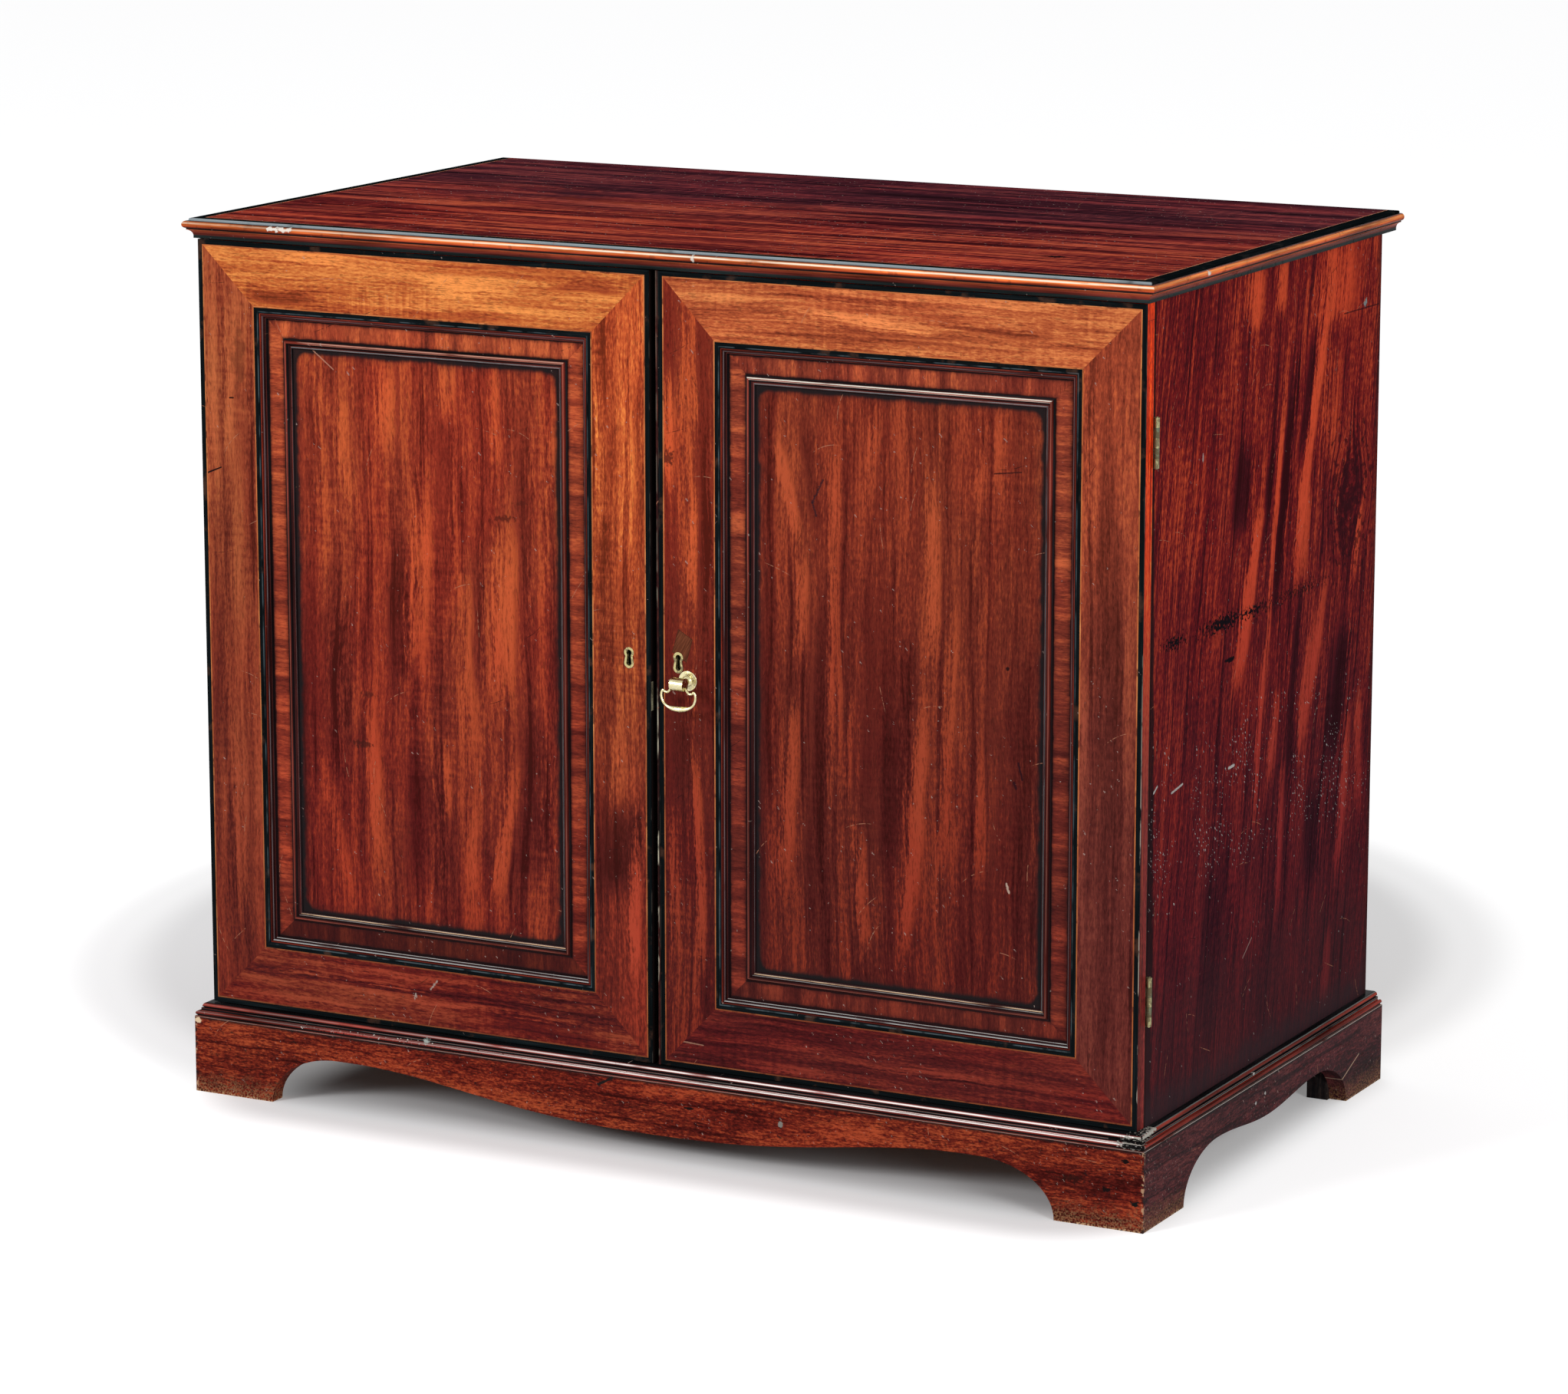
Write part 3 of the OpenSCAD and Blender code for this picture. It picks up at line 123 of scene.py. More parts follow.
class Finish(Nodes):
    # One material: its surface shader and the nodes that feed it
    def __init__(self, name, roughness=0.4, gloss=0.25, metallic=0.0):
        self.material = bpy.data.materials.new(name)
        self.material.use_nodes = True
        super().__init__(self.material.node_tree)
        self.surface = self.add("ShaderNodeBsdfPrincipled", inputs={
            "Roughness": roughness, "Specular IOR Level": gloss, "Metallic": metallic})
        self.output = self.add("ShaderNodeOutputMaterial", inputs={0: self.surface})
        self.place = self.add("ShaderNodeTexCoord", out="Object")
        self.axis = dict(zip("xyz", self.split(self.place)))

    def feed(self, socket, value):
        self.plug(self.surface.socket.node, {socket: value})

    def join(self, across, depth, along):
        return self.add("ShaderNodeCombineXYZ", inputs={0: across, 1: depth, 2: along})

    def split(self, vector):
        first = self.add("ShaderNodeSeparateXYZ", inputs={0: vector})
        return first, self.pick(first, 1), self.pick(first, 2)

    def turned(self, letters):
        # The object's axes in another order
        return self.join(*[self.axis[letter] for letter in letters])

    def length(self, a, b):
        flat = self.join(a, b, 0.0)
        return self.add("ShaderNodeVectorMath", {"operation": "LENGTH"}, {0: flat}, out="Value")

    def noise(self, vector, scale, detail=2.0, rough=0.5, warp=0.0, shift=(0, 0, 0)):
        if isinstance(scale, (int, float)):
            scale = (scale, scale, scale)
        placed = self.add("ShaderNodeMapping", inputs={0: vector, 1: shift, 3: scale})
        return self.add("ShaderNodeTexNoise", inputs={
            "Vector": placed, "Scale": 1.0, "Detail": detail, "Roughness": rough, "Distortion": warp})

    def cells(self, a, b, size, seed):
        # For the nearest point: how far it is, its three random numbers, and the way to it
        flat = self.join(a, b, 0.0)
        placed = self.add("ShaderNodeMapping", inputs={0: flat, 1: (seed, seed, 0), 3: (size, size, 1)})
        near = self.add(
            "ShaderNodeTexVoronoi", {"voronoi_dimensions": "2D"}, {"Vector": placed, "Scale": 1.0})
        chance = self.add("ShaderNodeSeparateColor", inputs={0: self.pick(near, "Color")})
        way = self.add(
            "ShaderNodeVectorMath", {"operation": "SUBTRACT"}, {0: placed, 1: self.pick(near, "Position")})
        return {"far": near, "chance": (chance, self.pick(chance, 1), self.pick(chance, 2)), "way": way}

    def ramp(self, value, stops, blend="LINEAR"):
        made = self.add("ShaderNodeValToRGB", {"stops": stops}, {0: value})
        made.socket.node.color_ramp.interpolation = blend
        return made

    def tones(self, value, three):
        dark, middle, light = three
        deep, high = tuple(c * 0.5 for c in dark), tuple(c * 1.3 for c in light)
        return self.ramp(value, [(0.06, deep), (0.28, dark), (0.5, middle), (0.72, light), (0.95, high)])

    def mix(self, share, first, second, blend="MIX"):
        return self.add(
            "ShaderNodeMix", {"data_type": "RGBA", "blend_type": blend},
            {0: share, 6: self.full(first), 7: self.full(second)}, out=2)

    def mixVector(self, share, first, second):
        return self.add("ShaderNodeMix", {"data_type": "VECTOR"}, {0: share, 4: first, 5: second}, out=1)

    def full(self, colour):
        return (*colour, 1.0) if isinstance(colour, tuple) else colour

    def bump(self, height, distance, strength):
        self.feed("Normal", self.add("ShaderNodeBump", inputs={
            "Strength": strength, "Distance": distance, "Height": height}))


def middle(nodeName):
    low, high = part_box(nodeName)
    return (low + high) / 2, (high - low) / 2


# How strongly the front edges catch the light: from the left end to the right one
shine = {"front": (-0.34, 0.06, 0.1), "brow": (-0.4, -0.05, 0.4)}


# Which way the grain runs. Letters give the axes across the grain, into the wood and along it.
def grainLines(f, look):
    lines = f.turned(look["axes"])
    if "ring" in look:
        centre, half = middle(look["ring"])
        fromSide = half.x - abs(f.axis["x"] - centre.x)
        fromEnd = half.z - abs(f.axis["z"] - centre.z)
        f.inward = fromSide.least(fromEnd)
        f.onLevel = fromEnd < fromSide
        f.atFoot = f.onLevel * (f.axis["z"] < centre.z)
        f.atHead = f.onLevel - f.atFoot
        lines = f.mixVector(f.onLevel, lines, f.turned(look["levelAxes"]))
    if "rim" in look:
        halfWidth, frontY = look["rim"]
        f.onSide = abs(f.axis["x"]) - halfWidth > frontY - f.axis["y"]
        for name, (start, end, faint) in shine.items():
            share = f.axis["x"].ease(start, end) * (1 - faint) + faint
            setattr(f, "on" + name.capitalize(), (1 - f.onSide) * share)
        lines = f.mixVector(f.onSide, lines, f.turned(look["sideAxes"]))
    return lines


# A mark of use is an oval blot or a scratch between two points, on the plane of two axes.
# "sparse" breaks it up, "within" keeps it to a part of the third axis, and "dent" sinks it.
markLook = {"grit": 300, "ragged": 1.2, "edge": 4, "strength": 1.0, "sparse": 0.0, "dent": 0.0}
# Colours of marks; the near-black third one is painted shade inside the keyholes
ink, burn, keyholeShade = (0.006, 0.004, 0.006), (0.02, 0.01, 0.014), (0.004, 0.004, 0.004)
crack, gouge, cut = (0.006, 0.005, 0.005), (0.01, 0.005, 0.005), (0.026, 0.006, 0.008)
bruise, smudge, paleChip = (0.05, 0.01, 0.008), (0.075, 0.012, 0.008), (0.42, 0.4, 0.38)


def blot(plane, at, size, colour, **look):
    return {**markLook, "plane": plane, "at": at, "size": size, "colour": colour, **look}


def scratch(plane, at, to, width, colour, **look):
    return {**markLook, "plane": plane, "at": at, "to": to, "width": width, "colour": colour, **look}


def addMarks(f, colour, marks):
    dents = None
    for mark in marks:
        a, b = (f.axis[letter] for letter in mark["plane"])
        rough = f.noise(f.place, mark["grit"], detail=3) - 0.5
        if "to" in mark:
            (a0, b0), (a1, b1) = mark["at"], mark["to"]
            runA, runB = a1 - a0, b1 - b0
            share = (((a - a0) * runA + (b - b0) * runB) / (runA ** 2 + runB ** 2)).limited()
            shape = 1 - f.length(a - a0 - share * runA, b - b0 - share * runB) / mark["width"]
        else:
            (a0, b0), (reachA, reachB) = mark["at"], mark["size"]
            shape = 1 - f.length((a - a0) / reachA, (b - b0) / reachB)
        mask = ((shape - mark["sparse"] + rough * mark["ragged"]) * mark["edge"]).limited()
        mask = mask * mark["strength"]
        if "within" in mark:
            letter, start, end = mark["within"]
            mask = mask * (f.axis[letter] > start) * (f.axis[letter] < end)
        colour = f.mix(mask, colour, mark["colour"])
        if mark["dent"]:
            dents = mask * mark["dent"] if dents is None else dents + mask * mark["dent"]
    return colour, dents


# Small ragged spots, one to a cell. share is the part of the cells that have one.
def spots(f, a, b, size, least, most, share, seed):
    waver = f.noise(f.join(a, b, 0.0), (size * 2.2, size * 2.2, 1), shift=(seed, 5, 0))
    wander = (waver - 0.5) * (1.1 / size)
    cell = f.cells(a + wander, b - wander, size, seed)
    first, second = cell["chance"][:2]
    return cell["far"].ease(second * second * most + least, least * 0.3) * (first > 1 - share)


# Dust specks in clusters, and fine straight scratches, some of them dark
wearLook = {
    "seed": 0.0, "face": "xz", "specks": 0.1, "speckSize": 150, "speckShare": 0.7,
    "speckColour": (0.42, 0.3, 0.26), "speckReach": (0.07, 0.12), "scratches": 0.25, "scratchSize": 26,
    "scratchDark": (0.02, 0.006, 0.006), "scratchPale": (0.4, 0.17, 0.1), "scratchShare": 0.75,
}


def addWear(f, colour, look):
    look = dict(wearLook, **look)
    seed = look["seed"]
    a, b = (f.axis[letter] for letter in look["face"])
    flat = f.join(a, b, 0.0)
    crowd = f.noise(flat, 8, detail=3, shift=(seed, 3, 0)).ease(0.4, 0.62) * look["specks"]
    specks = spots(f, a, b, look["speckSize"], *look["speckReach"], crowd, seed)
    colour = f.mix(specks * look["speckShare"], colour, look["speckColour"])
    cell = f.cells(a, b, look["scratchSize"], seed)
    first, second, third = cell["chance"]
    wayA, wayB = f.split(cell["way"])[:2]
    turn = first * 2.6 - 0.4
    cosine, sine = turn.maths("COSINE"), turn.maths("SINE")
    run, off = wayA * cosine + wayB * sine, wayB * cosine - wayA * sine
    line = abs(off + run * run * (third - 0.5)).ease(0.012, 0.004) * abs(run).ease(0.42, 0.2)
    broken = f.noise(flat, (260, 260, 1)).ease(0.42, 0.56)
    line = line * (second > 1 - look["scratches"]) * broken
    shade = f.mix(third > 0.45, look["scratchDark"], look["scratchPale"])
    return f.mix(line * look["scratchShare"], colour, shade), specks + line * 0.5


# Each streak of figure: its place across at mid height, low end, high end, half width, strength, lean
def addStreaks(f, tone, across, along, fray, streaks):
    for at, low, high, width, strength, lean in streaks:
        slanted = across - (along - (low + high) / 2) * lean if lean else across
        near = abs(slanted - at + fray * width).ease(width, width * 0.3) * (fray * 0.7 + 1)
        soft = (high - low) * 0.35
        ends = along.ease(low, low + soft) * along.ease(high, high - soft)
        tone = tone + near * ends * strength
    return tone


# Polished wood. A scale is across the grain, into the wood and along it; a share is how much it shows.
# "fade" gives the heights where "tones" end and the darker "tonesLow" begin, partly the wood's own tone and
# partly painted shade where the light falls off; "back" gives the unpolished inner face.
woodLook = {
    "roughness": 0.42, "gloss": 0.012, "relief": 0.0003, "seed": 0.0, "heightAxis": "z",
    "sway": 0.02, "wobble": 0.006, "lean": 0, "knots": [], "streaks": [], "marks": [],
    "broad": (40, 40, 1.8), "broadShare": 1.2, "fine": (300, 300, 14), "fineShare": 0.8,
    "hair": (600, 600, 170), "hairShare": 0.75, "strips": (150, 150, 3.5), "stripShare": 0.22,
    "ripple": 0, "rippleScale": (22, 22, 170), "fadeJitter": 0.22,
    "redden": 0.5, "redder": (1.0, 0.66, 0.8),
    "pores": (720, 720, 120), "poreShare": 0.35, "poreColour": (0.03, 0.008, 0.006),
    "plainTones": ((0.07, 0.019, 0.012), (0.15, 0.044, 0.024), (0.26, 0.088, 0.045)),
}


def woodFinish(name, look):
    look = dict(woodLook, **look)
    f = Finish(name, look["roughness"], look["gloss"])
    seed = look["seed"]
    f.lines = lines = grainLines(f, look)
    across, depth, along = f.split(lines)
    sway = f.noise(lines, (5, 5, 2.4), shift=(seed, seed, 0))
    wobble = f.noise(lines, (30, 30, 11), shift=(2, seed, 0))
    bent = across + (sway - 0.5) * look["sway"] + (wobble - 0.5) * look["wobble"]
    if look["lean"]:
        bent = bent - (along - 0.5) * look["lean"]
    for at, height, reach, push in look["knots"]:
        away = f.length(across - at, along - height)
        bent = bent - (across - at) * away.ease(reach, reach * 0.1) * push
    drawn = f.join(bent, depth, along)
    broad = f.noise(drawn, look["broad"], detail=3, shift=(seed, 0, seed))
    fine = f.noise(drawn, look["fine"], detail=3, rough=0.62, shift=(0, seed, seed))
    hair = f.noise(drawn, look["hair"], rough=0.6, shift=(seed, seed, 3))
    tone = 0.5 + (broad - 0.5) * look["broadShare"] + (fine - 0.5) * look["fineShare"]
    tone = tone + (hair - 0.5) * look["hairShare"]
    fray = (fine - 0.5) * 1.7 + (hair - 0.5) * 0.8
    tone = addStreaks(f, tone, across + (wobble - 0.5) * 0.012, along, fray, look["streaks"])
    if look["ripple"]:
        rippled = f.noise(lines, look["rippleScale"], warp=0.5, shift=(seed, 1, 2))
        where = f.noise(lines, (9, 9, 6), detail=1, shift=(3, seed, 0)).ease(0.4, 0.62)
        tone = tone + (rippled - 0.5) * where * look["ripple"]
    strips = f.noise(drawn, look["strips"], shift=(9, seed, seed))
    tone = tone - strips.ease(0.56, 0.68) * look["stripShare"]
    colour = f.tones(tone, look["tones"])
    # Towards the end of "fade" the darker tonesLow take over: partly the wood's own tone, partly painted
    # shade where the light falls off
    if "tonesLow" in look:
        blotch = f.noise(lines, (14, 14, 6), detail=3, shift=(7, seed, 2)) - 0.5
        faded = (f.axis[look["heightAxis"]] + blotch * look["fadeJitter"]).ease(*look["fade"])
        colour = f.mix(faded, colour, f.tones(tone, look["tonesLow"]))
    patch = f.noise(lines, (17, 17, 4), shift=(seed, 4, 9)).ease(0.42, 0.62) * look["redden"]
    colour = f.mix(patch, colour, look["redder"], "MULTIPLY")
    pores = f.noise(drawn, look["pores"], detail=1, shift=(seed, 2, 0)).ease(0.58, 0.68)
    pores = pores * look["poreShare"]
    colour = f.mix(pores, colour, look["poreColour"])
    if "edging" in look:
        colour = look["edging"](f, colour, tone)
    colour, dents = addMarks(f, colour, look["marks"])
    colour, worn = addWear(f, colour, look)
    if dents is not None:
        worn = worn * 0.8 + dents
    if "back" in look:
        letter, start, end = look["back"]
        shown = abs(f.axis[letter]).ease(end, start)
        colour = f.mix(shown, f.tones(tone, look["plainTones"]), colour)
        worn = worn * shown
    f.feed("Base Color", colour)
    f.feed("Roughness", look["roughness"] + (fine - 0.5) * 0.16 + pores * 0.2)
    f.bump(fine * 0.2 - pores * 0.6 - worn, look["relief"], 0.6)
    return f.material


def dress(part, material):
    parts[part].data.materials.clear()
    parts[part].data.materials.append(material)


# Camera, light and floor
view = {"place": (2.48435, -4.77668, 1.5287), "turn": 27.57, "down": 11.87, "lens": 127.5, "sensor": 36}
link = bpy.context.scene.collection.objects.link
cameraData = bpy.data.cameras.new("camera")
cameraData.lens = view["lens"]
cameraData.sensor_width = view["sensor"]
camera = bpy.data.objects.new("camera", cameraData)
camera.location = view["place"]
camera.rotation_euler = (radians(90 - view["down"]), 0, radians(view["turn"]))
link(camera)
bpy.context.scene.camera = camera
bpy.context.scene.view_settings.view_transform = "Standard"

lamps = {
    "softbox_left": {"place": (-4.4, -8.2, 4.4), "aim": (0, 0, 0.45), "size": (2.8, 2.2), "watts": 480},
    "softbox_right": {"place": (7.0, -4.4, 3.0), "aim": (0.3, 0, 0.45), "size": (2.4, 2.4), "watts": 250},
}
for name, lamp in lamps.items():
    light = bpy.data.lights.new(name, "AREA")
    light.shape = "RECTANGLE"
    light.size, light.size_y = lamp["size"]
    light.energy = lamp["watts"]
    holder = bpy.data.objects.new(name, light)
    holder.location = lamp["place"]
    aim = Vector(lamp["aim"]) - Vector(lamp["place"])
    holder.rotation_euler = aim.to_track_quat("-Z", "Y").to_euler()
    link(holder)

# The world lights the object at "fill", while eyes, reflections and glass see it at "shown"
room = {"fill": 0.42, "shown": 1.0, "colour": (1, 1, 1, 1)}
eyes = ("Is Camera Ray", "Is Glossy Ray", "Is Transmission Ray")
world = bpy.data.worlds.new("studio")
world.use_nodes = True
bpy.context.scene.world = world
sky = Nodes(world.node_tree)
strength = sky.add("ShaderNodeMapRange", inputs={
    "Value": sky.shownTo(*eyes), "To Min": room["fill"], "To Max": room["shown"]})
air = sky.add("ShaderNodeBackground", inputs={"Color": room["colour"], "Strength": strength})
sky.add("ShaderNodeOutputWorld", inputs={0: air})

# They also see a glow added to the floor's light. It fades under the cabinet, where it paints the soft edge
# of the shadow that lies there, and dims in a painted shadow behind the cabinet.
floorPaint = {
    "size": 40, "colour": (0.8, 0.8, 0.81, 1), "roughness": 0.9, "glow": 0.62,
    "shadowHalf": (0.4, 0.245), "shadowSoft": 0.15, "shadow": [(0.0, 0.0), (0.5, 0.35), (1.0, 1.0)],
    "shadowPatchAt": (-0.27, 0.52), "shadowPatchReach": (0.81, 0.87),
    "softDark": [(0.6, 0.38), (0.82, 0.42), (0.91, 0.72), (1.0, 1.0)],
}
floorMesh = bmesh.new()
bmesh.ops.create_grid(floorMesh, x_segments=1, y_segments=1, size=floorPaint["size"])
floorData = bpy.data.meshes.new("floor")
floorMesh.to_mesh(floorData)
floorMesh.free()
floor = bpy.data.objects.new("floor", floorData)
link(floor)
paint = Finish("floor_paint", floorPaint["roughness"], gloss=0.0)
floorX, floorY = paint.axis["x"], paint.axis["y"]
halfX, halfY = floorPaint["shadowHalf"]
beyond = paint.length((abs(floorX) - halfX).most(0.0), (abs(floorY) - halfY).most(0.0))
clear = paint.ramp(beyond / floorPaint["shadowSoft"], floorPaint["shadow"], "EASE")
# A painted shadow on the floor behind the cabinet, where the glow dims
(shadowPatchX, shadowPatchY), (shadowPatchWide, shadowPatchDeep) = floorPaint["shadowPatchAt"], floorPaint["shadowPatchReach"]
apart = paint.length((floorX - shadowPatchX) / shadowPatchWide, (floorY - shadowPatchY) / shadowPatchDeep)
shadowPatch = paint.ramp(apart, floorPaint["softDark"], "EASE")
paint.feed("Base Color", floorPaint["colour"])
paint.feed("Emission Color", paint.mix(1.0, clear, shadowPatch, "DARKEN"))
paint.feed("Emission Strength", floorPaint["glow"])
plain = paint.add("ShaderNodeBsdfDiffuse", inputs={"Color": floorPaint["colour"]})
blended = paint.add("ShaderNodeMixShader", inputs={0: paint.shownTo(*eyes), 1: plain, 2: paint.surface})
paint.plug(paint.output, {0: blended})
floorData.materials.append(paint.material)
print("camera, light and floor set")


# The solid edge of a door is redder than its veneer, with a painted highlight along its middle. Its back is
# dark, and its meeting edge is painted dark as the shade in the gap between the doors.
bodyHalf = 0.50315
edgeLook = {
    "tones": ((0.5, 0.026, 0.006), (1.0, 0.076, 0.01), (1.0, 0.25, 0.034)),
    "tonesLow": ((0.085, 0.013, 0.013), (0.19, 0.022, 0.02), (0.29, 0.045, 0.036)),
    "fade": (0.8, 0.36), "solidFrom": (-0.2835, -0.283), "darkFrom": (-0.269, -0.2675),
    "dark": (0.012, 0.006, 0.006), "line": (0.62, 0.14, 0.05), "sheenDepth": 0.279, "sheenHalf": 0.0016,
    "meeting": (0.01, 0.006, 0.006), "meetingFrom": (0.04, 0.02),
}


def doorEdge(f, colour, tone):
    x, y, z = (f.axis[letter] for letter in "xyz")
    look = edgeLook
    # Darker low down: partly the wood's own tone, partly painted shade where the light falls off
    edge = f.mix(z.ease(*look["fade"]), f.tones(tone, look["tones"]), f.tones(tone, look["tonesLow"]))
    outside = abs(x).ease(bodyHalf - 0.0006, bodyHalf - 0.0003)
    behind = y.ease(*look["solidFrom"])
    edge = f.mix(behind * y.ease(*look["darkFrom"]), edge, look["dark"])
    broken = f.noise(f.place, (300, 300, 12)).ease(0.4, 0.6)
    # A broken painted highlight along the middle of the edge
    line = abs(y + look["sheenDepth"]).ease(look["sheenHalf"], look["sheenHalf"] / 4) * broken
    edge = f.mix(line * 0.25, edge, look["line"])
    # Painted shade on the meeting edge, in the gap between the doors
    edge = f.mix(abs(x).ease(*look["meetingFrom"]), edge, look["meeting"])
    return f.mix(outside.most(behind), colour, edge)


# A worn diamond of plain veneer let in over the right keyhole, its grain at a slant
diamond = {
    "at": (0.031, 0.502), "slant": (0.5, 0.866), "half": (0.0118, 0.0092), "rim": 0.0012,
    "skew": 0.25, "grain": (700, 700, 60), "rimColour": (0.02, 0.008, 0.007),
    "tones": ((0.06, 0.018, 0.009), (0.115, 0.033, 0.016), (0.19, 0.058, 0.026)),
}


def diamondPatch(f, colour, tone):
    fromX, fromZ = f.axis["x"] - diamond["at"][0], f.axis["z"] - diamond["at"][1]
    sine, cosine = diamond["slant"]
    along, across = fromX * sine + fromZ * cosine, fromX * cosine - fromZ * sine
    high, wide = abs(along), abs(across + along * diamond["skew"])
    halfHigh, halfWide = diamond["half"]
    inside = high.ease(halfHigh, halfHigh - 0.0006) * wide.ease(halfWide, halfWide - 0.0006)
    innerHigh, innerWide = halfHigh - diamond["rim"], halfWide - diamond["rim"]
    rim = high.ease(innerHigh, innerHigh + 0.0008).most(wide.ease(innerWide, innerWide + 0.0008))
    grain = f.noise(f.join(across, f.axis["y"], along), diamond["grain"], detail=3)
    patch = f.mix(rim * inside * 0.8, f.tones(grain, diamond["tones"]), diamond["rimColour"])
    return doorEdge(f, f.mix(inside, colour, patch), tone)


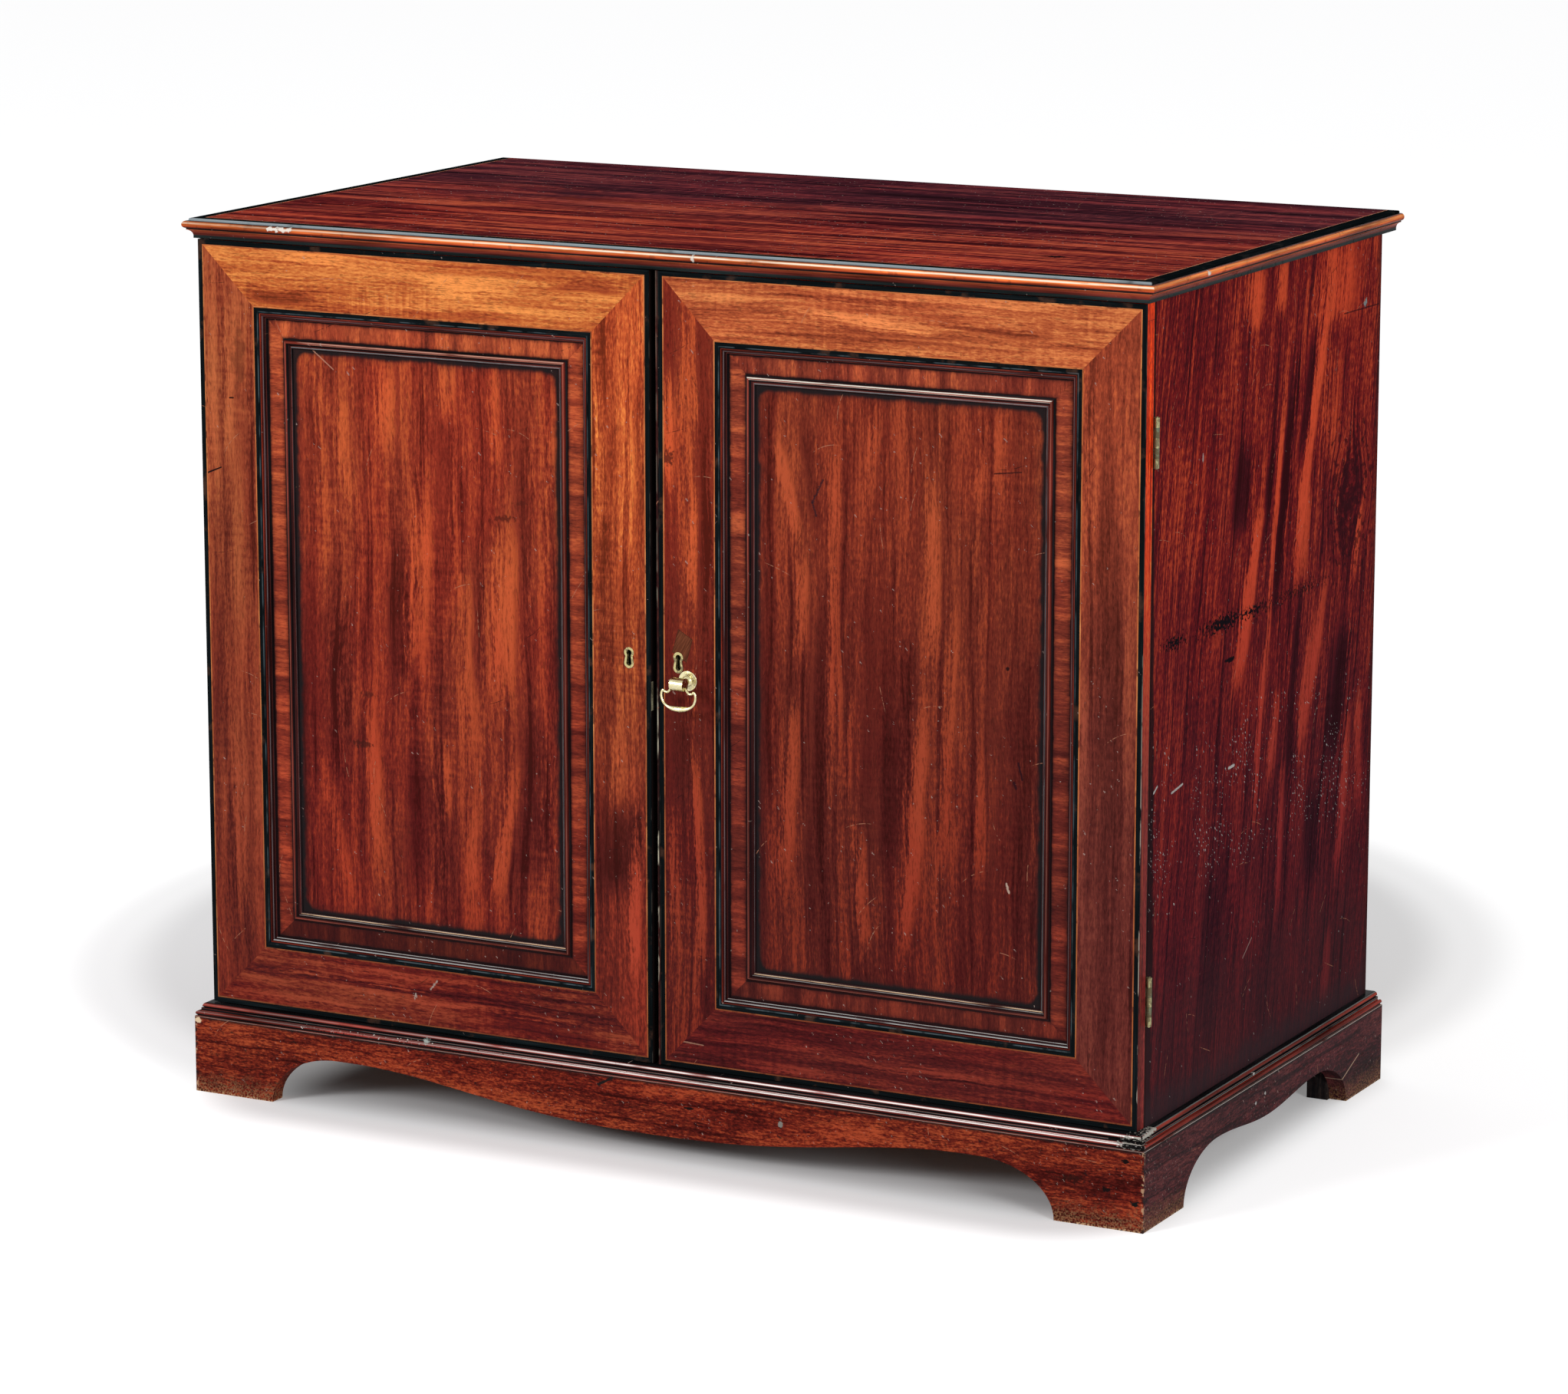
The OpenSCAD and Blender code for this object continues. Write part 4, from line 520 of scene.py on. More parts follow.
railLook = {"axes": "zyx", "broad": (75, 75, 2.6), "broadShare": 1.0, "sway": 0.012, "strips": (170, 170, 4)}
frameWood = {
    "left_top_rail": dict(
        railLook, seed=1.3, ripple=0.55, rippleScale=(16, 16, 260), specks=0.05, redden=0.15, stripShare=0.3,
        tones=((0.32, 0.055, 0.018), (0.49, 0.116, 0.029), (0.7, 0.235, 0.058)),
        streaks=[(0.828, -0.27, -0.14, 0.015, 0.22, 0), (0.842, -0.45, -0.3, 0.008, 0.14, 0),
                 (0.806, -0.46, -0.36, 0.01, -0.3, 0), (0.835, -0.12, -0.02, 0.006, -0.26, 0.02),
                 (0.848, -0.25, -0.05, 0.005, -0.16, 0), (0.8, -0.3, -0.1, 0.006, -0.14, 0)]),
    "left_bottom_rail": dict(
        railLook, seed=4.1, ripple=0.4, specks=0.2, redden=0.6,
        tones=((0.058, 0.009, 0.01), (0.13, 0.017, 0.012), (0.25, 0.046, 0.022)),
        streaks=[(0.134, -0.46, -0.22, 0.004, 0.35, 0), (0.146, -0.42, -0.12, 0.004, 0.2, 0.01),
                 (0.12, -0.38, -0.1, 0.005, 0.22, -0.01), (0.108, -0.47, -0.3, 0.006, 0.2, 0),
                 (0.112, -0.22, -0.03, 0.012, -0.22, 0)],
        marks=[
            scratch("xz", (-0.243, 0.1435), (-0.25, 0.134), 0.001, (0.36, 0.31, 0.27), strength=0.7,
                    ragged=4.0, edge=2, grit=420),
            blot("xz", (-0.268, 0.1255), (0.003, 0.006), (0.34, 0.3, 0.26), strength=0.8, ragged=4.0,
                 edge=3, grit=500, sparse=0.5),
        ]),
    "left_hinge_stile": {
        "axes": "xyz", "seed": 2.7, "fade": (0.8, 0.18), "ripple": 0.45, "specks": 0.1, "redden": 0.4,
        "tones": ((0.145, 0.024, 0.012), (0.262, 0.054, 0.022), (0.38, 0.098, 0.034)),
        "tonesLow": ((0.09, 0.015, 0.012), (0.168, 0.028, 0.016), (0.25, 0.045, 0.022)),
        "streaks": [(-0.465, 0.16, 0.4, 0.012, 0.26, 0), (-0.47, 0.62, 0.82, 0.009, 0.24, 0.02),
                    (-0.486, 0.3, 0.55, 0.01, -0.18, 0), (-0.452, 0.5, 0.8, 0.011, -0.2, 0),
                    (-0.49, 0.58, 0.72, 0.012, 0.16, 0), (-0.446, 0.2, 0.5, 0.007, 0.14, 0)],
        "marks": [
            scratch("xz", (-0.4975, 0.626), (-0.4815, 0.6325), 0.0009, (0.016, 0.006, 0.006), ragged=0.8,
                    dent=1.0),
            scratch("xz", (-0.47, 0.702), (-0.466, 0.7022), 0.0009, (0.03, 0.008, 0.006), ragged=0.8,
                    dent=1.0),
            blot("xz", (-0.459, 0.74), (0.01, 0.04), (0.115, 0.026, 0.012), strength=0.55, ragged=2.4,
                 edge=1.6, grit=140),
        ],
    },
    "left_meeting_stile": {
        "axes": "xyz", "seed": 5.2, "fade": (0.74, 0.26), "ripple": 0.45,
        "rippleScale": (30, 30, 230), "specks": 0.1, "redden": 0.35,
        "tones": ((0.3, 0.046, 0.016), (0.56, 0.112, 0.03), (0.84, 0.25, 0.056)),
        "tonesLow": ((0.08, 0.012, 0.01), (0.15, 0.02, 0.013), (0.3, 0.04, 0.02)),
        "streaks": [(-0.055, 0.58, 0.78, 0.01, 0.18, 0), (-0.042, 0.26, 0.45, 0.009, 0.24, 0.02),
                    (-0.035, 0.24, 0.36, 0.026, -0.4, 0), (-0.022, 0.16, 0.31, 0.008, 0.45, 0.03),
                    (-0.03, 0.45, 0.6, 0.012, -0.16, 0), (-0.016, 0.56, 0.8, 0.007, -0.16, 0)],
        "marks": [
            # Painted shade inside the keyhole
            blot("xz", (-0.0265, 0.4854), (0.0047, 0.01), keyholeShade, ragged=0.0, edge=8),
        ],
    },
    "right_top_rail": dict(
        railLook, seed=8.4, ripple=0.4, specks=0.08, redden=0.25, stripShare=0.22, sway=0.022,
        tones=((0.25, 0.046, 0.018), (0.43, 0.096, 0.032), (0.64, 0.2, 0.062)),
        streaks=[(0.826, 0.1, 0.3, 0.006, 0.2, -0.02), (0.812, 0.12, 0.4, 0.004, -0.18, 0.01),
                 (0.824, 0.16, 0.26, 0.0018, 0.55, -0.03), (0.818, 0.2, 0.31, 0.0014, 0.5, -0.03),
                 (0.838, 0.05, 0.25, 0.004, -0.2, -0.03), (0.8, 0.2, 0.44, 0.008, 0.1, 0.0),
                 (0.82, 0.26, 0.46, 0.005, -0.2, 0.02), (0.845, 0.2, 0.45, 0.003, 0.16, 0.0)]),
    "right_bottom_rail": dict(
        railLook, seed=9.6, ripple=0.4, specks=0.28, redden=0.6,
        tones=((0.048, 0.008, 0.009), (0.095, 0.013, 0.012), (0.19, 0.028, 0.018)),
        streaks=[(0.132, 0.1, 0.3, 0.005, 0.26, 0.01), (0.118, 0.18, 0.4, 0.005, 0.2, -0.01),
                 (0.106, 0.06, 0.2, 0.006, 0.24, 0)],
        marks=[
            scratch("xz", (0.01, 0.118), (0.052, 0.116), 0.0008, (0.3, 0.15, 0.1), strength=0.8),
        ]),
    "right_hinge_stile": {
        "axes": "xyz", "seed": 3.9, "fade": (0.82, 0.3), "ripple": 0.25, "specks": 0.16, "redden": 0.1,
        "tones": ((0.185, 0.031, 0.015), (0.32, 0.056, 0.024), (0.52, 0.108, 0.036)),
        "tonesLow": ((0.07, 0.0135, 0.012), (0.114, 0.0225, 0.018), (0.17, 0.037, 0.026)),
        "streaks": [(0.455, 0.6, 0.8, 0.01, 0.2, 0), (0.48, 0.3, 0.7, 0.01, -0.14, 0),
                    (0.446, 0.2, 0.55, 0.006, 0.14, 0)],
    },
    "right_meeting_stile": {
        "axes": "xyz", "seed": 6.6, "fade": (0.7, 0.24), "ripple": 0.35, "specks": 0.14, "redden": 0.5,
        "tones": ((0.17, 0.02, 0.011), (0.21, 0.029, 0.014), (0.46, 0.078, 0.024)),
        "tonesLow": ((0.052, 0.009, 0.009), (0.092, 0.013, 0.011), (0.22, 0.032, 0.016)),
        "streaks": [(0.018, 0.63, 0.78, 0.01, 0.4, 0), (0.043, 0.52, 0.66, 0.008, 0.3, 0.03),
                    (0.05, 0.16, 0.43, 0.009, 0.42, -0.03), (0.028, 0.33, 0.5, 0.016, -0.22, 0),
                    (0.056, 0.52, 0.76, 0.008, -0.2, 0), (0.024, 0.18, 0.34, 0.008, 0.18, 0)],
        "marks": [
            blot("xz", (0.017, 0.68), (0.006, 0.009), (0.055, 0.01, 0.008), strength=0.8, ragged=3.0,
                 edge=2, grit=260),
            # Painted shade inside the keyhole
            blot("xz", (0.0265, 0.4854), (0.0047, 0.01), keyholeShade, ragged=0.0, edge=8),
        ],
    },
}
for part, look in frameWood.items():
    look["edging"] = diamondPatch if part == "right_meeting_stile" else doorEdge
    look["back"] = ("y", 0.26712, 0.26702)
    dress(part, woodFinish(part + "_veneer", look))
print("door frames finished")


# Dark wax and dirt left along the moulding and in the corners of a panel, partly painted shade there
rimDirtAndShade = {"inset": 0.041, "width": 0.0062, "round": 0.016, "share": 0.95, "colour": (0.01, 0.01, 0.011),
           "halo": (0.05, 0.012, 0.011)}


def dirtAndShadeRim(panel):
    centre, half = middle(panel)
    width, roundness = rimDirtAndShade["width"], rimDirtAndShade["round"]
    straightX = half.x - rimDirtAndShade["inset"] - roundness
    straightZ = half.z - rimDirtAndShade["inset"] - roundness

    def edging(f, colour, tone):
        sideOut = abs(f.axis["x"] - centre.x) - straightX
        endOut = abs(f.axis["z"] - centre.z) - straightZ
        far = f.length(sideOut.most(0.0), endOut.most(0.0))
        within = roundness - far - sideOut.most(endOut).least(0.0)
        ragged = f.noise(f.place, 70, detail=5) - 0.5
        # A soft halo and a darker rim of dirt and painted shade along the moulding
        halo = (within + ragged * width * 2.4).ease(width * 2.2, 0.0)
        colour = f.mix(halo * 0.5, colour, rimDirtAndShade["halo"])
        dirtAndShade = (within + ragged * width * 0.9).ease(width, width * 0.3)
        return f.mix(dirtAndShade * rimDirtAndShade["share"], colour, rimDirtAndShade["colour"])
    return edging


panelWood = {
    "left_panel": {
        "axes": "xyz", "seed": 1.9, "fade": (0.78, 0.26), "sway": 0.03, "broad": (75, 75, 3.0),
        "broadShare": 1.0, "ripple": 0.4, "rippleScale": (30, 30, 190),
        "specks": 0.1, "scratches": 0.2, "redden": 0.55,
        "tones": ((0.16, 0.02, 0.011), (0.285, 0.04, 0.018), (0.46, 0.086, 0.026)),
        "tonesLow": ((0.088, 0.011, 0.01), (0.165, 0.022, 0.014), (0.31, 0.046, 0.019)),
        "streaks": [
            (-0.296, 0.64, 0.762, 0.016, 0.26, 0.02), (-0.261, 0.415, 0.675, 0.015, 0.34, 0.05),
            (-0.227, 0.68, 0.765, 0.014, 0.18, 0), (-0.208, 0.35, 0.58, 0.009, 0.18, -0.03),
            (-0.167, 0.4, 0.62, 0.016, 0.44, 0.03), (-0.175, 0.64, 0.752, 0.008, 0.24, 0),
            (-0.112, 0.5, 0.748, 0.011, 0.22, 0), (-0.315, 0.2, 0.475, 0.01, 0.32, -0.08),
            (-0.233, 0.285, 0.395, 0.006, 0.4, 0.02), (-0.168, 0.2, 0.395, 0.01, 0.36, 0.17),
            (-0.358, 0.205, 0.365, 0.01, 0.24, -0.16), (-0.34, 0.56, 0.745, 0.018, 0.14, -0.25),
            (-0.205, 0.225, 0.345, 0.01, 0.16, 0), (-0.372, 0.3, 0.57, 0.03, -0.2, 0),
            (-0.286, 0.395, 0.61, 0.012, -0.26, 0.03), (-0.197, 0.4, 0.625, 0.01, -0.28, 0),
            (-0.232, 0.5, 0.75, 0.011, -0.22, 0), (-0.137, 0.215, 0.46, 0.027, -0.26, 0),
            (-0.262, 0.2, 0.4, 0.026, -0.22, 0), (-0.385, 0.56, 0.75, 0.015, -0.14, 0),
            (-0.145, 0.45, 0.745, 0.013, -0.2, 0),
        ],
        "marks": [
            scratch("xz", (-0.382, 0.756), (-0.356, 0.7365), 0.0007, (0.5, 0.24, 0.16), strength=0.6,
                    ragged=1.6, grit=700),
            blot("xz", (-0.165, 0.606), (0.015, 0.0035), smudge, strength=0.8, ragged=3.0, edge=2),
            blot("xz", (-0.148, 0.622), (0.011, 0.0025), smudge, strength=0.6, ragged=3.0, edge=2),
            blot("xz", (-0.33, 0.37), (0.014, 0.004), bruise, strength=0.8, ragged=3.2, edge=2),
            blot("xz", (-0.322, 0.42), (0.01, 0.004), bruise, strength=0.6, ragged=3.2, edge=2),
        ],
    },
    "right_panel": {
        "axes": "xyz", "seed": 7.7, "fade": (0.84, 0.2), "sway": 0.026, "broad": (75, 75, 3.0),
        "broadShare": 0.9, "ripple": 0.25, "rippleScale": (30, 30, 190),
        "specks": 0.15, "scratches": 0.25, "redden": 0.35,
        "tones": ((0.122, 0.017, 0.01), (0.198, 0.031, 0.015), (0.35, 0.064, 0.023)),
        "tonesLow": ((0.055, 0.008, 0.008), (0.092, 0.0145, 0.0115), (0.21, 0.03, 0.015)),
        "streaks": [
            (0.138, 0.595, 0.72, 0.009, 0.38, -0.26), (0.152, 0.48, 0.62, 0.009, 0.42, 0.0),
            (0.141, 0.25, 0.49, 0.01, 0.4, 0.064), (0.188, 0.35, 0.758, 0.009, 0.26, 0),
            (0.227, 0.63, 0.758, 0.009, 0.22, 0.1), (0.291, 0.47, 0.71, 0.011, 0.32, -0.04),
            (0.271, 0.2, 0.49, 0.01, 0.42, 0.075), (0.304, 0.24, 0.62, 0.009, 0.24, 0.05),
            (0.218, 0.2, 0.37, 0.009, 0.4, -0.05), (0.204, 0.34, 0.5, 0.007, 0.26, 0.03),
            (0.343, 0.28, 0.45, 0.015, 0.18, 0.05), (0.345, 0.64, 0.755, 0.018, 0.14, 0.3),
            (0.165, 0.6, 0.745, 0.009, -0.2, -0.1), (0.241, 0.245, 0.615, 0.024, -0.24, 0),
            (0.17, 0.205, 0.61, 0.011, -0.24, 0.03), (0.322, 0.44, 0.745, 0.013, -0.16, 0),
            (0.372, 0.205, 0.56, 0.04, -0.16, 0), (0.258, 0.3, 0.56, 0.009, -0.22, 0.05),
            (0.118, 0.3, 0.61, 0.01, -0.18, 0),
        ],
        "marks": [
            scratch("xz", (0.175, 0.67), (0.164, 0.648), 0.0011, burn, strength=0.75, ragged=4.0,
                    edge=3, grit=420),
            scratch("xz", (0.164, 0.648), (0.168, 0.636), 0.001, burn, strength=0.75, ragged=4.0,
                    edge=3, grit=420),
            scratch("xz", (0.3765, 0.423), (0.3805, 0.408), 0.0012, cut, ragged=1.6, grit=500),
            scratch("xz", (0.372, 0.404), (0.3745, 0.399), 0.0014, cut, ragged=1.6, grit=500),
            blot("xz", (0.365, 0.51), (0.0022, 0.0022), (0.02, 0.006, 0.006)),
            scratch("xz", (0.35, 0.6895), (0.377, 0.693), 0.0007, bruise, ragged=1.8, grit=500),
            scratch("xz", (0.3655, 0.308), (0.368, 0.3), 0.0012, (0.45, 0.33, 0.26), strength=0.8,
                    ragged=2.4, grit=600),
        ],
    },
}
for part, look in panelWood.items():
    look["edging"] = dirtAndShadeRim(part)
    look["back"] = ("y", 0.268, 0.26792)
    dress(part, woodFinish(part + "_veneer", look))
print("panels finished")


# Crossbanding: short pieces of veneer with their grain across the band
crossWood = {
    "axes": "zyx", "levelAxes": "xyz", "broad": (70, 70, 8), "broadShare": 1.0, "fine": (300, 300, 40),
    "fineShare": 0.5, "hair": (600, 600, 200), "hairShare": 0.4, "stripShare": 0.1, "fade": (0.84, 0.24),
    "specks": 0.16, "scratches": 0.15, "sway": 0.004, "wobble": 0.003, "redden": 0.3,
}
bandWood = {
    "left": {
        "start": 0.531, "foot": 0.75,
        "tones": ((0.2, 0.034, 0.018), (0.44, 0.076, 0.03), (0.78, 0.17, 0.054)),
        "tonesLow": ((0.105, 0.015, 0.012), (0.25, 0.036, 0.02), (0.54, 0.088, 0.036)),
    },
    "right": {
        "start": 0.577, "foot": 0.25,
        "tones": ((0.15, 0.024, 0.015), (0.32, 0.056, 0.027), (0.7, 0.15, 0.052)),
        "tonesLow": ((0.066, 0.012, 0.011), (0.155, 0.026, 0.018), (0.36, 0.06, 0.03)),
    },
}
bandLook = {"length": 0.163, "width": 0.018, "dark": (0.045, 0.008, 0.007), "joint": (0.015, 0.005, 0.005),
            "foot": (0.02, 0.006, 0.007), "shade": (0.035, 0.01, 0.01), "dirtAndShade": (0.01, 0.007, 0.008)}


def bandPieces(start, foot):
    def edging(f, colour, tone):
        place = (f.pick(f.lines, 0) + start) / bandLook["length"]
        tint = f.add("ShaderNodeTexWhiteNoise", {"noise_dimensions": "1D"}, {"W": place.maths("FLOOR") + 0.3})
        colour = f.mix(tint * tint * 0.45, colour, bandLook["dark"])
        joint = abs(place.maths("FRACT") - 0.02).ease(0.008, 0.001)
        colour = f.mix(joint * 0.7, colour, bandLook["joint"])
        colour = f.mix(f.atFoot * foot, colour, bandLook["foot"])
        # Painted shade darkens the band towards both its edges, with a thin line of dirt and painted shade
        # right at them
        ragged = (f.noise(f.place, 90, detail=4) - 0.5) * 0.003
        edge = f.inward.least(bandLook["width"] - f.inward) + ragged
        colour = f.mix(edge.ease(0.0048, 0.0) * 0.55, colour, bandLook["shade"])
        return f.mix(edge.ease(0.0018, 0.0004) * 0.85, colour, bandLook["dirtAndShade"])
    return edging


for side, band in bandWood.items():
    part = side + "_crossband"
    look = dict(crossWood, ring=part, seed=band["start"] * 9, tones=band["tones"], tonesLow=band["tonesLow"])
    look["edging"] = bandPieces(band["start"], band["foot"])
    dress(part, woodFinish(part + "_veneer", look))
print("crossbanding finished")


# Ebony, rubbed brown in places
ebonyLook = {
    "gloss": 0.006, "rub": 0.4, "rubColour": (0.1, 0.045, 0.028), "specks": 0.06, "scratches": 0.1,
    "speckShare": 0.5, "roughness": 0.3, "relief": 0.00025,
    "shades": [(0.3, (0.002, 0.003, 0.003)), (0.52, (0.004, 0.006, 0.007)), (0.75, (0.011, 0.017, 0.019))],
}


def ebonyFinish(name, look):
    look = dict(ebonyLook, **look)
    f = Finish(name, gloss=look["gloss"])
    lines = grainLines(f, look)
    fine = f.noise(lines, (900, 900, 26), detail=3)
    cloud = f.noise(lines, (30, 30, 8), detail=3)
    colour = f.ramp(fine * 0.6 + cloud * 0.4, look["shades"])
    rubbed = f.noise(f.place, 45, detail=4).ease(0.58, 0.7)
    colour = f.mix(rubbed * look["rub"], colour, look["rubColour"])
    if "edging" in look:
        colour = look["edging"](f, colour)
    colour = addWear(f, colour, look)[0]
    f.feed("Base Color", colour)
    f.feed("Roughness", look["roughness"] + (cloud - 0.4) * 0.35)
    f.bump(fine * 0.2 + rubbed * -0.4, look["relief"], 0.6)
    return f.material


# Boxwood, with dark gaps where the line is lost, and darker low on the doors, partly painted shade where the
# light falls off
boxwoodLook = {
    "roughness": 0.45, "gloss": 0.02, "lost": (0.1, 0.022, 0.012), "low": (0.075, 0.014, 0.011),
    "fade": (0.6, 0.14), "relief": 0.0001,
    "shades": [(0.32, (0.22, 0.046, 0.016)), (0.5, (0.46, 0.13, 0.04)), (0.7, (0.7, 0.28, 0.095))],
}


def boxwoodFinish(name, look):
    look = dict(boxwoodLook, **look)
    f = Finish(name, look["roughness"], look["gloss"])
    lines = grainLines(f, look)
    fine = f.noise(lines, (700, 700, 30), detail=3)
    cloud = f.noise(lines, (20, 20, 30), detail=4)
    colour = f.ramp(fine * 0.5 + cloud * 0.5, look["shades"])
    lost = f.noise(f.place, 70, detail=3).ease(0.56, 0.66)
    colour = f.mix(lost * 0.75, colour, look["lost"])
    if "ring" in look:
        colour = f.mix(f.axis["z"].ease(*look["fade"]) * 0.35 + f.atFoot * 0.3, colour, look["low"])
    f.feed("Base Color", colour)
    f.bump(fine, look["relief"], 0.4)
    return f.material


# A painted highlight shows as a thin cool line on the arris of the bevel. The outer edging is bruised pale
# along its arris, partly a painted highlight, worst at the foot of the right door.
glintLook = {"bevel": (0.16, 0.22, 0.25), "bevelIn": 0.004, "edge": (0.62, 0.52, 0.42), "low": (0.66, 0.3),
             "right": (0.3, 0.48)}


def bevelGlints(f, colour):
    broken = f.noise(f.place, (60, 60, 30), detail=3).ease(0.4, 0.6)
    line = abs(f.inward - glintLook["bevelIn"]).ease(0.0008, 0.0001) * broken
    return f.mix(line * 0.35, colour, glintLook["bevel"])


def edgeGlints(f, colour):
    out = f.inward.ease(0.0008, 0.0001) * f.noise(f.place, (90, 90, 24), detail=5).ease(0.52, 0.58)
    low = f.axis["z"].ease(*glintLook["low"]) * f.axis["x"].ease(*glintLook["right"]) * 0.5 + 0.05
    return f.mix(out * low * (1 - f.onLevel), colour, glintLook["edge"])


ringLook = {"axes": "xyz", "levelAxes": "zyx"}
for side in ("left", "right"):
    for kind, glints in (("_ebony_edging", edgeGlints), ("_ebony_bevel", bevelGlints)):
        part = side + kind
        dress(part, ebonyFinish(part + "_wood", dict(ringLook, ring=part, edging=glints)))
    part = side + "_boxwood_lines"
    dress(part, boxwoodFinish(part + "_wood", dict(ringLook, ring=part)))
print("ebony and boxwood finished")


# Mouldings: "lines" gives the colours across the profile; its black bands are dirt and painted shade in the
# quirks and under the rounds. A glint is a painted highlight: where it shows ("" for everywhere), its place
# in the profile, half width, colour and share.
mouldingLook = {
    "roughness": 0.28, "gloss": 0.012, "relief": 0.0004, "fray": 0.04, "chips": 0.2, "glints": [],
    "marks": [], "specks": 0.12, "scratches": 0.05, "seed": 4,
    "low": (0.03, 0.008, 0.009), "chip": (0.014, 0.01, 0.01),
    "shades": [(0.15, 0.45), (0.5, 1.0), (0.85, 1.9)],
}


def mouldingFinish(name, look):
    look = dict(mouldingLook, **look)
    f = Finish(name, gloss=look["gloss"])
    lines = grainLines(f, look)
    fine = f.noise(lines, (500, 500, 14), detail=3, rough=0.6)
    broad = f.noise(lines, (34, 34, 6), detail=3)
    ragged = f.noise(lines, (420, 420, 90), detail=4) - 0.5
    profile = look["profile"](f) + ragged * look["fray"]
    tone = 0.5 + (fine - 0.5) * 1.6 + (broad - 0.5) * 1.8
    colour = f.mix(1.0, f.ramp(profile, look["lines"]), f.ramp(tone, look["shades"]), "MULTIPLY")
    # Darker low on the doors, partly painted shade where the light falls off
    if "fade" in look:
        high, low, share = look["fade"]
        colour = f.mix(f.axis["z"].ease(high, low) * share, colour, look["low"])
    chipped = f.noise(f.place, 120, detail=4).ease(0.6, 0.68)
    colour = f.mix(chipped * look["chips"], colour, look["chip"])
    for where, at, width, shade, share in look["glints"]:
        broken = f.noise(lines, (90, 90, 16), detail=4).ease(0.3, 0.5)
        line = abs(profile - at).ease(width, width * 0.2) * broken * share
        if where:
            line = line * getattr(f, where)
        colour = f.mix(line, colour, shade)
    colour, dents = addMarks(f, colour, look["marks"])
    colour, worn = addWear(f, colour, look)
    relief = fine * 0.3 + ragged * 0.5 - worn - chipped * 0.5
    if dents is not None:
        relief = relief - dents
    f.feed("Base Color", colour)
    f.feed("Roughness", look["roughness"] + chipped * 0.2 + (fine - 0.5) * 0.2)
    f.bump(relief, look["relief"], 0.7)
    return f.material


def inwardShare(width):
    return lambda f: f.inward / width


def heightShare(low, high):
    return lambda f: (f.axis["z"] - low) / (high - low)


# Near-black for the dirt and painted shade in the quirks and under the rounds
black, quirk = (0.008, 0.008, 0.009), (0.016, 0.01, 0.011)
sunkLines = [(0.0, black), (0.07, quirk), (0.13, (0.26, 0.028, 0.012)), (0.2, (0.22, 0.024, 0.011)),
             (0.26, black), (0.34, (0.055, 0.014, 0.013)), (0.5, (0.08, 0.018, 0.015)), (0.57, black),
             (0.66, (0.07, 0.015, 0.013)), (0.79, (0.11, 0.021, 0.016)), (0.86, black), (1.0, black)]
panelLines = [(0.0, black), (0.12, black), (0.18, (0.11, 0.016, 0.011)), (0.4, (0.17, 0.026, 0.015)),
              (0.46, black), (0.56, black), (0.61, (0.06, 0.012, 0.011)), (0.69, black),
              (0.74, (0.12, 0.02, 0.014)), (0.88, (0.1, 0.018, 0.014)), (0.94, black), (1.0, black)]
# The pale grey glint on the ledges that face up is a painted highlight
ledgeHighlight, cream, cool = (0.5, 0.52, 0.5), (0.9, 0.62, 0.38), (0.27, 0.31, 0.32)
headShine = {"left": (0.6, 0.3, 0.22), "right": (0.92, 0.88, 0.76)}
doorMouldings = {
    "_sunk_moulding": {
        "lines": sunkLines, "profile": inwardShare(0.0062),
        "glints": [("atFoot", 0.42, 0.09, ledgeHighlight, 0.9), ("atFoot", 0.74, 0.09, ledgeHighlight, 0.9),
                   ("", 0.52, 0.06, (0.19, 0.2, 0.21), 0.6)],
    },
    "_panel_moulding": {
        "lines": panelLines, "profile": inwardShare(0.0094),
        "glints": [("atFoot", 0.8, 0.1, cream, 0.95), ("atFoot", 0.62, 0.04, ledgeHighlight, 0.5),
                   ("atHead", 0.24, 0.08, "head", 0.9), ("atHead", 0.4, 0.04, "head", 0.5),
                   ("", 0.3, 0.05, (0.34, 0.16, 0.12), 0.4), ("", 0.84, 0.06, cool, 0.8)],
    },
}
for side, fade in (("left", 0.35), ("right", 0.55)):
    for kind, look in doorMouldings.items():
        part = side + kind
        glints = [(*glint[:3], headShine[side] if glint[3] == "head" else glint[3], glint[4])
                  for glint in look["glints"]]
        dress(part, mouldingFinish(part + "_wood", dict(
            look, **ringLook, ring=part, fade=(0.82, 0.2, fade), glints=glints)))
print("door mouldings finished")


